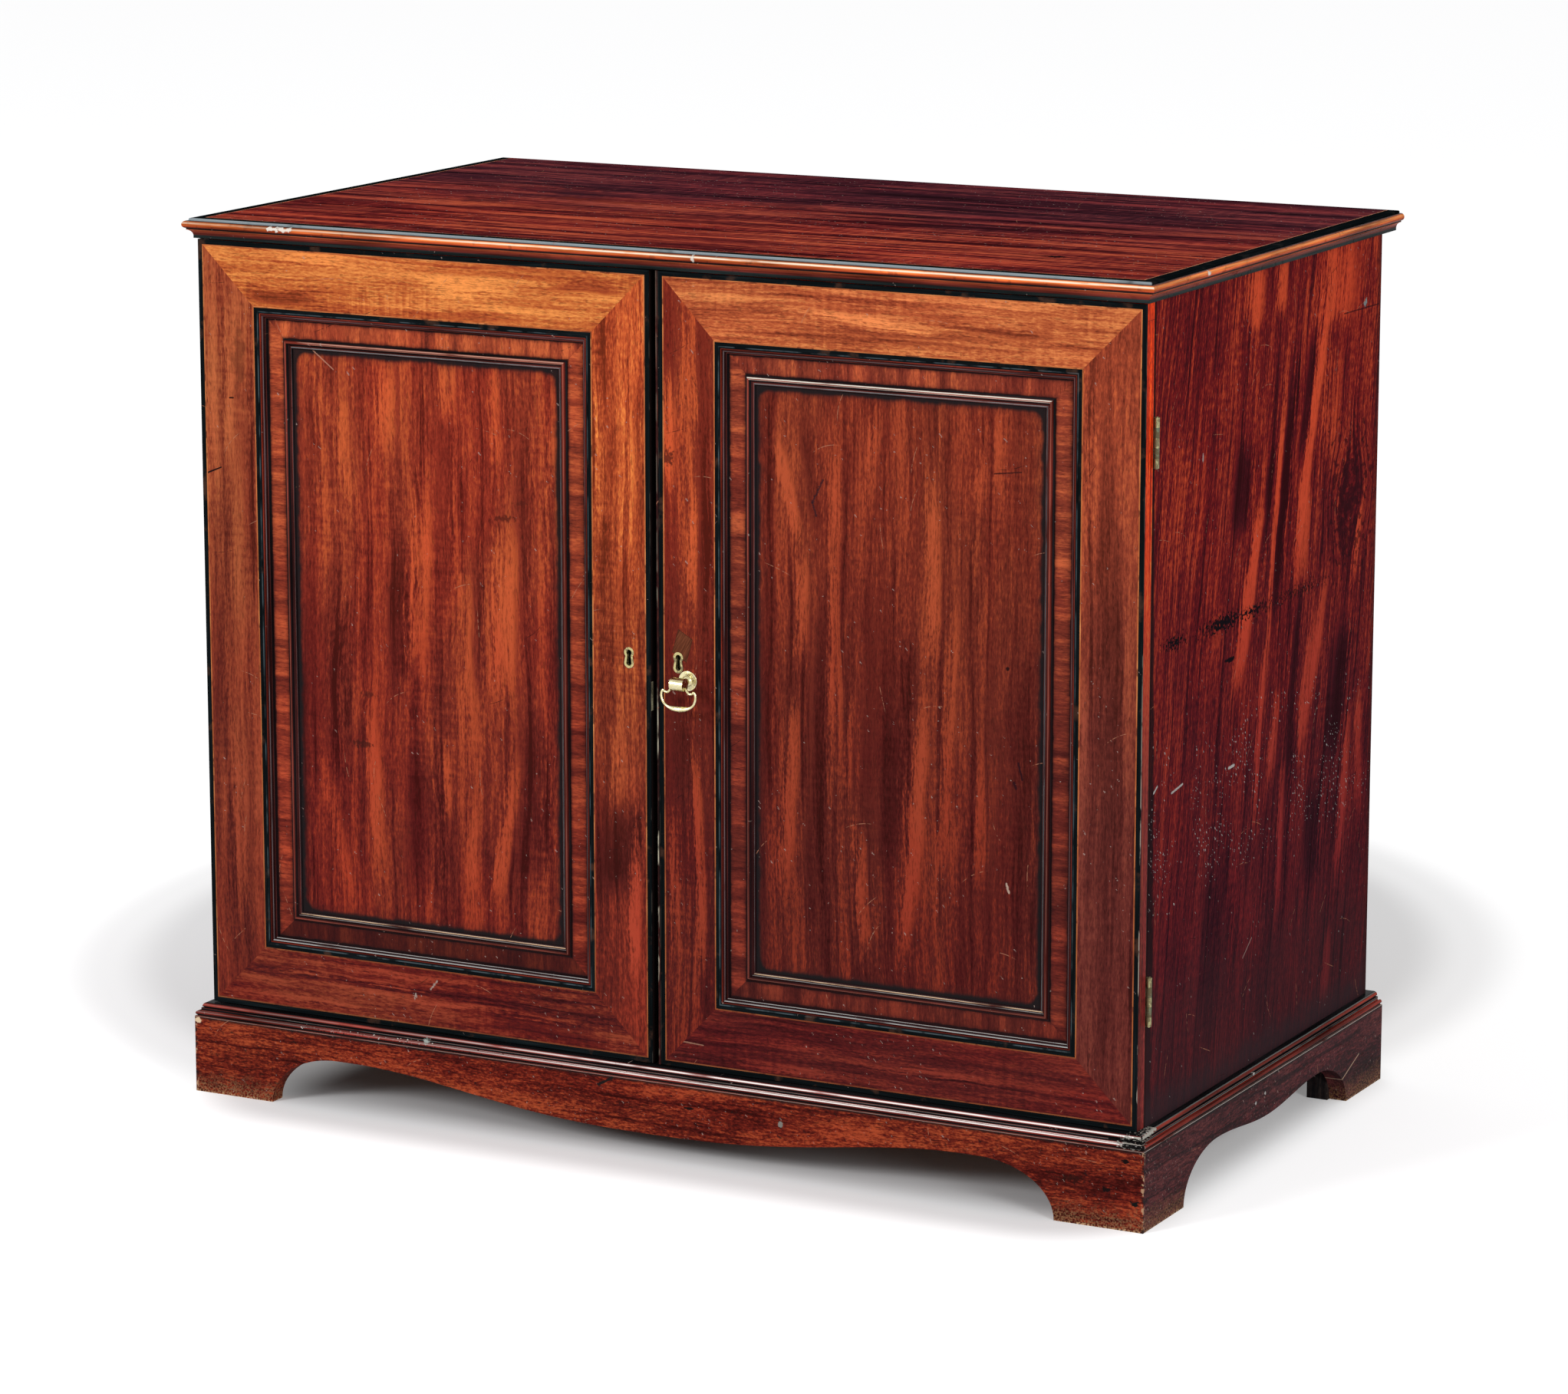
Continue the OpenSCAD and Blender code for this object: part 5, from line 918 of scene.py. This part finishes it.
# Carcase sides
sideWood = {
    "seed": 3.3, "axes": "yxz", "face": "yz", "fade": (0.74, 0.2), "fadeJitter": 0.2, "lean": 0.14,
    "sway": 0.04, "broad": (30, 30, 1.4), "broadShare": 0.6, "fine": (240, 240, 14), "fineShare": 0.9,
    "gloss": 0.001, "hair": (520, 520, 150), "hairShare": 0.8,
    "redden": 0.3, "specks": 0.1, "scratches": 0.35, "ripple": 0.2, "speckColour": (0.3, 0.26, 0.25),
    "tones": ((0.06, 0.0062, 0.01), (0.172, 0.0115, 0.013), (0.5, 0.062, 0.024)),
    "tonesLow": ((0.032, 0.0066, 0.012), (0.084, 0.0115, 0.0165), (0.18, 0.018, 0.021)),
    "knots": [(0.208, 0.61, 0.075, 0.9)],
    "streaks": [
        (-0.038, 0.79, 0.87, 0.03, 0.34, 0.1), (0.03, 0.8, 0.87, 0.014, 0.36, 0.1),
        (0.018, 0.365, 0.815, 0.008, 0.38, 0.15), (-0.04, 0.44, 0.655, 0.02, 0.56, 0.34),
        (0.108, 0.53, 0.835, 0.013, 0.46, 0.3), (0.09, 0.52, 0.65, 0.022, 0.34, 0.1),
        (0.175, 0.77, 0.88, 0.055, 0.3, 0), (0.108, 0.35, 0.52, 0.017, 0.42, 0.3),
        (0.028, 0.35, 0.46, 0.012, 0.42, 0.13), (0.047, 0.2, 0.425, 0.01, 0.4, 0.08),
        (-0.011, 0.3, 0.5, 0.008, 0.42, 0.1), (0.23, 0.51, 0.61, 0.008, 0.42, 0.22),
        (0.208, 0.205, 0.41, 0.013, 0.5, 0.13), (0.17, 0.09, 0.19, 0.015, 0.45, 0.15),
        (0.246, 0.27, 0.43, 0.012, 0.26, -0.05), (0.16, 0.62, 0.79, 0.03, 0.22, 0.1),
        (0.135, 0.4, 0.56, 0.011, 0.32, 0.25), (0.043, 0.48, 0.785, 0.015, -0.42, 0.17),
        (0.098, 0.64, 0.805, 0.014, -0.36, 0.25), (-0.055, 0.6, 0.71, 0.03, -0.28, 0.1),
        (0.188, 0.33, 0.5, 0.026, -0.36, 0.2), (0.075, 0.3, 0.6, 0.01, -0.28, 0.15),
        (0.0, 0.56, 0.7, 0.011, -0.34, 0.25), (0.13, 0.22, 0.35, 0.028, -0.24, 0.1),
        (-0.1, 0.1, 0.35, 0.06, -0.14, 0), (-0.19, 0.56, 0.76, 0.06, 0.1, 0),
    ],
    "marks": [
        blot("yz", (-0.102, 0.535), (0.042, 0.007), ink, ragged=5.0),
        blot("yz", (-0.213, 0.536), (0.022, 0.0065), ink, ragged=6.5, sparse=0.2),
        blot("yz", (-0.03, 0.534), (0.05, 0.006), ink, ragged=7.0, sparse=0.4),
        blot("yz", (0.08, 0.535), (0.08, 0.007), (0.01, 0.005, 0.006), strength=0.8, ragged=7.0,
             sparse=0.6),
        blot("yz", (-0.083, 0.497), (0.012, 0.0026), ink, ragged=1.8, edge=5),
        blot("yz", (0.21, 0.6), (0.036, 0.046), (0.03, 0.005, 0.008), strength=0.75, ragged=9.0,
             edge=1.8, grit=130),
        scratch("yz", (0.238, 0.792), (0.242, 0.7945), 0.003, (0.2, 0.22, 0.22), ragged=2.2, grit=400,
                dent=2.0),
        scratch("yz", (0.185, 0.789), (0.275, 0.7878), 0.0008, (0.03, 0.006, 0.008), strength=0.8,
                ragged=1.5),
        scratch("yz", (-0.256, 0.404), (-0.248, 0.4085), 0.0013, paleChip, strength=0.9, ragged=1.6,
                grit=700, dent=1.5),
        scratch("yz", (-0.215, 0.396), (-0.19, 0.3995), 0.0012, paleChip, strength=0.9, ragged=1.8,
                grit=700, dent=1.5),
        scratch("yz", (-0.082, 0.393), (-0.069, 0.3935), 0.0015, (0.45, 0.44, 0.42), strength=0.9,
                ragged=1.6, grit=700, dent=1.5),
        scratch("yz", (-0.04, 0.2), (-0.019, 0.215), 0.0008, (0.3, 0.2, 0.18), strength=0.7,
                ragged=1.0),
        blot("yz", (-0.154, 0.698), (0.0016, 0.005), (0.34, 0.3, 0.29), strength=0.8, ragged=1.4,
             grit=600, dent=1.0),
    ],
}
# Darker bands above the base, a dark strip down the front edge, and a field of pale chips low down
sideDarkening = {
    "stripFrom": 0.2655, "strip": (0.012, 0.007, 0.009), "footHeight": (0.135, 0.094),
    "foot": (0.028, 0.024, 0.029), "softDarkHeight": (0.27, 0.15), "softDark": (0.04, 0.018, 0.021),
    "rearFrom": (0.264, 0.279), "rear": (0.03, 0.01, 0.01), "chipsHeight": 0.368, "chipsHalf": (0.1, 0.045),
    "chipSize": 190, "chipReach": (0.1, 0.16), "chips": (0.46, 0.45, 0.43),
}


def sideEdges(f, colour, tone):
    look = sideDarkening
    ragged = f.noise(f.place, 40, detail=4) - 0.5
    y, z = f.axis["y"], f.axis["z"]
    strip = (y + look["stripFrom"]) / (z.ease(0.8, 0.18) * 0.012 + 0.0012) + ragged
    colour = f.mix(strip.ease(1.25, 0.75) * 0.9, colour, look["strip"])
    foot = (z + ragged * 0.035).ease(*look["footHeight"])
    colour = f.mix(foot * 0.75, colour, look["foot"])
    softDark = (z + ragged * 0.12).ease(*look["softDarkHeight"]) * 0.45
    colour = f.mix(softDark, colour, look["softDark"])
    rear = (y + ragged * 0.012).ease(*look["rearFrom"])
    colour = f.mix(rear * 0.6, colour, look["rear"])
    crowd = f.noise(f.join(y, 0.0, z), (14, 1, 14), detail=3, shift=(3, 0, 1)).ease(0.46, 0.58)
    field = abs(z - look["chipsHeight"]).ease(*look["chipsHalf"]) * crowd
    chips = spots(f, y, z, look["chipSize"], *look["chipReach"], field * 0.6, 3)
    return f.mix(chips * 0.85, colour, look["chips"])


for part in ("left_side", "right_side"):
    look = dict(sideWood, edging=sideEdges, back=("x", 0.48535, 0.48525))
    if part == "left_side":
        # The left side isn't in the photograph: the same wood with fewer marks and streaks
        look.update(seed=5.8, marks=sideWood["marks"][6:], streaks=sideWood["streaks"][8:])
    dress(part, woodFinish(part + "_wood", look))
print("sides finished")


# Top
topWood = {
    "seed": 4.4, "axes": "yzx", "face": "xy", "heightAxis": "y", "fade": (-0.13, 0.15), "fadeJitter": 0.25,
    "broad": (60, 60, 3.0), "broadShare": 1.3, "fine": (260, 260, 8), "fineShare": 1.3, "sway": 0.025,
    "specks": 0.4, "speckSize": 140, "scratches": 0.6, "gloss": 0.0, "roughness": 0.6,
    "ripple": 0.4, "hair": (400, 400, 60), "speckColour": (0.55, 0.42, 0.38),
    "redden": 0.5, "stripShare": 0.3, "strips": (110, 110, 3.5),
    "tones": ((0.1, 0.013, 0.016), (0.29, 0.036, 0.029), (0.6, 0.108, 0.05)),
    "tonesLow": ((0.048, 0.013, 0.021), (0.116, 0.024, 0.034), (0.28, 0.054, 0.053)),
    "streaks": [(-0.18, -0.3, 0.2, 0.016, 0.22, 0.02), (-0.12, -0.1, 0.4, 0.014, -0.26, 0.03),
                (-0.06, -0.46, -0.1, 0.018, 0.2, 0), (-0.22, 0.05, 0.45, 0.014, 0.24, -0.02),
                (0.0, 0.0, 0.45, 0.02, -0.22, 0.04), (0.06, -0.3, 0.1, 0.02, 0.2, 0.02)],
    "marks": [
        blot("xy", (0.36, -0.168), (0.01, 0.008), (0.012, 0.005, 0.008), ragged=2.0, edge=3),
        blot("xy", (-0.278, 0.072), (0.07, 0.05), (0.045, 0.016, 0.024), strength=0.6, ragged=3.0,
             edge=1.4, grit=60),
        blot("xy", (-0.05, 0.066), (0.06, 0.04), (0.038, 0.012, 0.02), strength=0.6, ragged=3.0,
             edge=1.4, grit=60),
        blot("xy", (-0.23, 0.016), (0.06, 0.022), (0.22, 0.03, 0.018), strength=0.6, ragged=3.0,
             edge=1.4, grit=60),
        blot("xy", (-0.328, -0.028), (0.04, 0.02), (0.034, 0.01, 0.016), strength=0.6, ragged=3.0,
             edge=1.4, grit=60),
    ],
}
dress("top_board", woodFinish("top_board_wood", topWood))
topRim = (bodyHalf, -0.28417)
bandShine = {"from": (0.0036, 0.0056), "colour": (0.36, 0.42, 0.45), "share": 0.75}


def topGlints(f, colour):
    # The front edge of the band catches the light
    out = (topRim[1] - f.axis["y"]).ease(*bandShine["from"]) * bandShine["share"]
    cloudy = f.noise(f.place, 26, detail=3).ease(0.15, 0.4)
    return f.mix(out * cloudy, colour, bandShine["colour"])


rimLook = {"axes": "zyx", "sideAxes": "zxy", "rim": topRim}
dress("top_ebony_band", ebonyFinish("top_band_ebony", dict(
    rimLook, rub=0.2, rubColour=(0.05, 0.045, 0.04), gloss=0.0, edging=topGlints)))
dress("top_boxwood_line", boxwoodFinish("top_line_boxwood", rimLook))
torusLines = [(0.0, black), (0.08, black), (0.16, (0.17, 0.026, 0.014)), (0.32, (0.38, 0.06, 0.018)),
              (0.6, (0.6, 0.14, 0.03)), (0.82, (0.72, 0.22, 0.05)), (0.93, (0.3, 0.07, 0.03)),
              (1.0, black)]
coveLines = [(0.0, (0.01, 0.014, 0.014)), (0.28, (0.012, 0.018, 0.018)), (0.36, (0.07, 0.012, 0.01)),
             (0.62, (0.17, 0.028, 0.016)), (0.84, (0.36, 0.075, 0.028)), (0.93, black), (1.0, black)]
topEdge = {
    "profile": heightShare(0.8663, 0.8736), "lines": torusLines, "chips": 0.3, "relief": 0.0006,
    "glints": [("onBrow", 0.72, 0.16, (1.0, 0.84, 0.66), 0.95),
               ("onSide", 0.7, 0.1, (0.75, 0.34, 0.16), 0.5)],
    # Dents in the torus, painted pale as the highlights they catch
    "marks": [
        scratch("xz", (-0.415, 0.871), (-0.39, 0.8712), 0.002, (0.8, 0.74, 0.66), strength=0.9,
                ragged=3.4, edge=3, grit=260, dent=2.0),
        blot("xz", (0.049, 0.87), (0.0022, 0.004), (0.75, 0.7, 0.62), strength=0.8, ragged=2.0, edge=3,
             dent=2.0),
        blot("yz", (-0.172, 0.8705), (0.004, 0.0026), (0.8, 0.76, 0.7), strength=0.9, ragged=2.0, edge=3,
             dent=2.0),
    ],
}
dress("top_edge_moulding", mouldingFinish("top_edge_wood", dict(rimLook, **topEdge)))
dress("under_moulding", mouldingFinish("under_moulding_wood", dict(
    rimLook, profile=heightShare(0.8565, 0.8663), lines=coveLines)))
print("top finished")


# Base. The corner marks of the moulding stay within their own face.
baseLines = [(0.0, (0.09, 0.018, 0.014)), (0.04, (0.16, 0.024, 0.016)), (0.07, black), (0.2, black),
             (0.25, (0.13, 0.017, 0.013)), (0.34, (0.19, 0.025, 0.016)), (0.43, (0.13, 0.018, 0.013)),
             (0.46, black), (0.57, black), (0.6, (0.13, 0.017, 0.013)), (0.63, black), (0.74, black),
             (0.78, (0.18, 0.025, 0.017)), (0.88, (0.22, 0.03, 0.018)), (0.94, (0.13, 0.018, 0.015)),
             (0.97, black), (1.0, black)]
frontOnly, sideOnly = ("y", -0.31, -0.285), ("x", 0.495, 0.53)
highlight = (1.0, 0.94, 0.9)
baseEdge = {
    "axes": "zyx", "sideAxes": "zxy", "rim": (bodyHalf + 0.0141, -0.29828),
    "profile": heightShare(0.0769, 0.0903), "lines": baseLines, "fray": 0.015,
    "glints": [("onFront", 0.86, 0.075, highlight, 1.0), ("onFront", 0.36, 0.055, highlight, 1.0),
               ("", 0.57, 0.02, (0.36, 0.42, 0.38), 0.5), ("", 0.02, 0.03, (0.5, 0.42, 0.36), 0.5),
               ("onSide", 0.96, 0.03, (0.3, 0.34, 0.32), 0.5),
               ("onSide", 0.02, 0.035, (0.52, 0.5, 0.46), 0.8),
               ("onSide", 0.47, 0.03, (0.42, 0.41, 0.38), 0.7)],
    "marks": [
        scratch("xz", (-0.4, 0.0812), (-0.24, 0.0822), 0.003, (0.66, 0.62, 0.56), ragged=8.0, edge=3,
                grit=330, sparse=1.8, dent=1.5),
        scratch("xz", (-0.38, 0.08), (-0.05, 0.079), 0.003, (0.01, 0.007, 0.007), ragged=8.0, edge=3,
                grit=360, sparse=1.6, dent=1.5),
        blot("xz", (0.502, 0.083), (0.013, 0.005), (0.34, 0.33, 0.29), strength=0.8, ragged=4.0, edge=3,
             dent=2.0, within=frontOnly),
        scratch("xz", (0.48, 0.085), (0.514, 0.0835), 0.0012, crack, ragged=2.0, grit=500, dent=1.0,
                within=frontOnly),
        scratch("yz", (-0.292, 0.0868), (-0.26, 0.089), 0.0022, (0.44, 0.42, 0.37), ragged=5.0, edge=3,
                grit=420, dent=2.5, within=sideOnly),
        scratch("yz", (-0.298, 0.08), (-0.288, 0.0905), 0.0011, crack, ragged=2.0, grit=500, dent=1.0,
                within=sideOnly),
        blot("yz", (-0.03, 0.085), (0.0022, 0.0022), (0.62, 0.6, 0.56), ragged=2.0, edge=3, grit=500,
             dent=1.5, within=sideOnly),
        blot("xz", (-0.25, 0.084), (0.004, 0.003), (0.45, 0.5, 0.46), strength=0.8, ragged=3.0, edge=2,
             grit=500, dent=2.0),
    ],
}
dress("base_moulding", mouldingFinish("base_moulding_wood", baseEdge))

# Bare wood along the cut edges, the feet and the front corners, and a dark line just under the moulding
plinthWear = {
    "footHeight": 0.026, "foot": (0.26, 0.125, 0.06), "tipHeight": (0.0022, 0.0004),
    "tip": (0.55, 0.36, 0.2), "underHeight": (0.0735, 0.0762), "under": (0.012, 0.009, 0.009),
    "cornerFrom": (0.812, 0.8142), "cornerDark": (0.014, 0.01, 0.01), "cornerPale": (0.48, 0.3, 0.18),
    "nicks": (0.012, 0.008, 0.008), "dusty": (0.34, 0.28, 0.24),
}


def plinthEdges(f, colour, tone):
    look, z = plinthWear, f.axis["z"]
    ragged = f.noise(f.place, 120, detail=4) - 0.5
    gritty = f.noise(f.place, 520, detail=3).ease(0.42, 0.6)
    foot = (z + ragged * 0.03).ease(look["footHeight"], 0.0)
    colour = f.mix(foot * gritty * 0.8, colour, look["foot"])
    tip = (z + ragged * 0.005).ease(*look["tipHeight"]) * gritty
    colour = f.mix(tip * 0.75, colour, look["tip"])
    under = (z + ragged * 0.003).ease(*look["underHeight"])
    colour = f.mix(under * 0.85, colour, look["under"])
    corner = (abs(f.axis["x"]) - f.axis["y"] + ragged * 0.005).ease(*look["cornerFrom"])
    bare = f.noise(f.place, 190, detail=4)
    colour = f.mix(corner * bare.ease(0.5, 0.4) * 0.85, colour, look["cornerDark"])
    colour = f.mix(corner * bare.ease(0.54, 0.6) * 0.75, colour, look["cornerPale"])
    around = f.axis["x"] - f.axis["y"]
    colour = f.mix(spots(f, around, z, 120, 0.06, 0.22, 0.35, 6) * 0.8, colour, look["nicks"])
    return f.mix(spots(f, around, z, 170, 0.05, 0.12, 0.16, 2) * 0.7, colour, look["dusty"])


plinthTones = ((0.062, 0.0075, 0.006), (0.152, 0.0175, 0.0095), (0.32, 0.055, 0.02))
plinthSideTones = ((0.028, 0.01, 0.012), (0.066, 0.017, 0.02), (0.125, 0.034, 0.034))
plinthLook = {"broad": (34, 34, 6.0), "broadShare": 1.1, "fine": (400, 400, 60), "fineShare": 1.1,
              "poreShare": 0.5, "hair": (620, 620, 260), "hairShare": 1.0,
              "sway": 0.012, "specks": 0.2, "scratches": 0.3}
plinthWood = {
    "plinth_front": dict(
        plinthLook, seed=1.1, axes="zyx", tones=plinthTones, redden=0.3,
        marks=[
            blot("xz", (-0.513, 0.0735), (0.0045, 0.003), (0.7, 0.52, 0.34), dent=2.0),
            blot("xz", (0.142, 0.054), (0.003, 0.0034), (0.2, 0.19, 0.17), dent=1.5),
            blot("xz", (0.48, 0.037), (0.006, 0.0022), gouge, ragged=4.0, edge=3, grit=260, dent=1.5),
            blot("xz", (0.498, 0.067), (0.004, 0.0024), gouge, ragged=3.0, edge=3, grit=260, dent=1.5),
            blot("xz", (0.508, 0.027), (0.004, 0.003), (0.008, 0.008, 0.008), ragged=3.0, edge=3,
                 grit=260, dent=1.5),
            blot("xz", (0.445, 0.043), (0.014, 0.003), (0.02, 0.006, 0.005), strength=0.8, ragged=5.0,
                 edge=2, grit=260),
            blot("xz", (0.044, 0.056), (0.006, 0.0012), (0.01, 0.006, 0.006), ragged=1.8, dent=1.5),
            scratch("xz", (-0.055, 0.067), (-0.04, 0.0755), 0.0014, (0.014, 0.01, 0.01), ragged=1.8,
                    dent=1.0),
        ]),
    "plinth_left": dict(plinthLook, seed=2.9, axes="zxy", face="yz", tones=plinthSideTones),
    "plinth_right": dict(
        plinthLook, seed=3.7, axes="zxy", face="yz", tones=plinthSideTones, specks=0.6,
        marks=[
            scratch("yz", (0.186, 0.025), (0.23, 0.041), 0.0008, (0.42, 0.28, 0.2), strength=0.9,
                    ragged=1.0),
            blot("yz", (-0.035, 0.057), (0.0022, 0.002), paleChip, ragged=1.6, grit=600),
            blot("yz", (-0.012, 0.0615), (0.002, 0.002), paleChip, ragged=1.6, grit=600),
        ]),
}
for part, look in plinthWood.items():
    dress(part, woodFinish(part + "_wood", dict(look, edging=plinthEdges)))
print("base finished")


# The inside in pine and deal, the near-black foot blocks, and the bead of the right door: dark, partly
# painted shade in the gap between the doors, with a painted highlight along its front in broken lengths,
# mostly low down
pineTones = ((0.2, 0.095, 0.042), (0.33, 0.175, 0.082), (0.48, 0.29, 0.15))
dealTones = ((0.12, 0.045, 0.022), (0.22, 0.09, 0.042), (0.34, 0.16, 0.08))
bead = {"at": 0.0043, "half": 0.0011, "colour": (0.55, 0.5, 0.38), "fade": (0.62, 0.34)}


def beadHighlight(f, colour, tone):
    broken = f.noise(f.place, (60, 60, 26), detail=3).ease(0.5, 0.6)
    broken = broken * (f.axis["z"].ease(*bead["fade"]) * 0.7 + 0.1)
    # A broken painted highlight along the front of the bead
    return f.mix(abs(f.axis["x"] - bead["at"]).ease(bead["half"], 0.0004) * broken, colour, bead["colour"])


insideLook = {"roughness": 0.72, "gloss": 0.03, "broad": (26, 26, 1.6), "fineShare": 0.9, "poreShare": 0.2,
              "hairShare": 0.5, "specks": 0.1, "scratches": 0.2, "relief": 0.0004, "sway": 0.03,
              "redden": 0.15}
levelBoard = {"axes": "yzx", "face": "xy"}
insideWood = {
    "bottom_board": dict(levelBoard, seed=1.6, tones=dealTones),
    "shelf": dict(levelBoard, seed=3.1, tones=dealTones),
    "shelf_bearers": {"axes": "zxy", "face": "yz", "seed": 4.9, "tones": pineTones},
    "top_front_rail": dict(levelBoard, seed=5.5, tones=pineTones),
    "top_back_rail": dict(levelBoard, seed=6.1, tones=pineTones),
    "backboards": {"axes": "xyz", "seed": 7.3, "tones": pineTones},
    "plinth_back": {"axes": "zyx", "seed": 8.8, "tones": pineTones},
    "foot_blocks": {
        "axes": "xyz", "seed": 9.2,
        "tones": ((0.008, 0.007, 0.008), (0.018, 0.014, 0.014), (0.05, 0.036, 0.032)),
    },
    # Dark, partly painted shade in the gap between the doors
    "right_meeting_bead": {
        "axes": "xyz", "seed": 2.4, "edging": beadHighlight,
        "tones": ((0.01, 0.005, 0.005), (0.034, 0.01, 0.009), (0.1, 0.024, 0.016)),
    },
}
for part, look in insideWood.items():
    dress(part, woodFinish(part + "_wood", dict(insideLook, **look)))
print("inside finished")


# Brass: "clean" is how much of it tarnish leaves free, "tarnish" how dark the tarnish is
brassLook = {"clean": 0.54, "tarnishColour": (0.11, 0.075, 0.03), "metal": 1.0, "relief": 0.00008}


def brassFinish(name, look):
    look = dict(brassLook, **look)
    f = Finish(name, look["roughness"], gloss=0.5, metallic=1.0)
    cloud = f.noise(f.place, 180, detail=4, rough=0.6)
    fine = f.noise(f.place, 1400, detail=3)
    colour = f.tones(cloud * 0.7 + fine * 0.3, look["tones"])
    tarnish = cloud.ease(look["clean"], look["clean"] + 0.12)
    colour = f.mix(tarnish * look["tarnish"], colour, look["tarnishColour"])
    if "edging" in look:
        colour = look["edging"](f, colour)
    f.feed("Base Color", colour)
    f.feed("Roughness", look["roughness"] + tarnish * 0.25 + (fine - 0.5) * 0.2)
    f.feed("Metallic", (1 - tarnish * look["tarnish"] * 0.6) * look["metal"])
    f.bump(fine * 0.5 + cloud, look["relief"], 0.5)
    return f.material


def plateShadow(f, colour):
    # Painted shadow darkens the strike plate behind its front, deeper in the gap between the doors
    return f.mix(f.axis["y"].ease(-0.28, -0.2785), colour, (0.012, 0.009, 0.006))


polished = {"roughness": 0.24, "tarnish": 0.25,
            "tones": ((0.38, 0.32, 0.14), (0.64, 0.57, 0.32), (0.88, 0.84, 0.6))}
dull = {"roughness": 0.42, "tarnish": 0.75, "clean": 0.46,
        "tones": ((0.3, 0.24, 0.1), (0.48, 0.42, 0.2), (0.7, 0.66, 0.4))}
green = {"roughness": 0.5, "tarnish": 0.85, "clean": 0.42,
         "tones": ((0.05, 0.06, 0.045), (0.15, 0.16, 0.1), (0.4, 0.4, 0.26))}
worn = dict(dull, tones=((0.18, 0.16, 0.08), (0.34, 0.31, 0.16), (0.58, 0.56, 0.36)), clean=0.44)
# The strike plate is pale and only partly metallic, a painted sheen where brass in the gap would reflect dark
bare = dict(dull, metal=0.35, edging=plateShadow,
            tones=((0.4, 0.36, 0.2), (0.66, 0.62, 0.4), (0.9, 0.88, 0.7)))
brassParts = {
    "handle_mount": polished, "handle_bail": polished, "handle_nut": dull,
    "left_escutcheon": dull, "right_escutcheon": dull, "strike_plate": bare,
    "hinge_carcase_leaves": worn, "hinge_pins": worn, "hinge_carcase_screws": dull,
    "left_hinge_leaves": dull, "left_hinge_screws": dull,
    "right_hinge_leaves": green, "right_hinge_screws": dull,
    "bolt_plates": dull, "upper_bolt": dull, "lower_bolt": dull, "lock_case": dull, "lock_bolt": dull,
}
for part, look in brassParts.items():
    dress(part, brassFinish(part + "_brass", look))
print("brass finished")
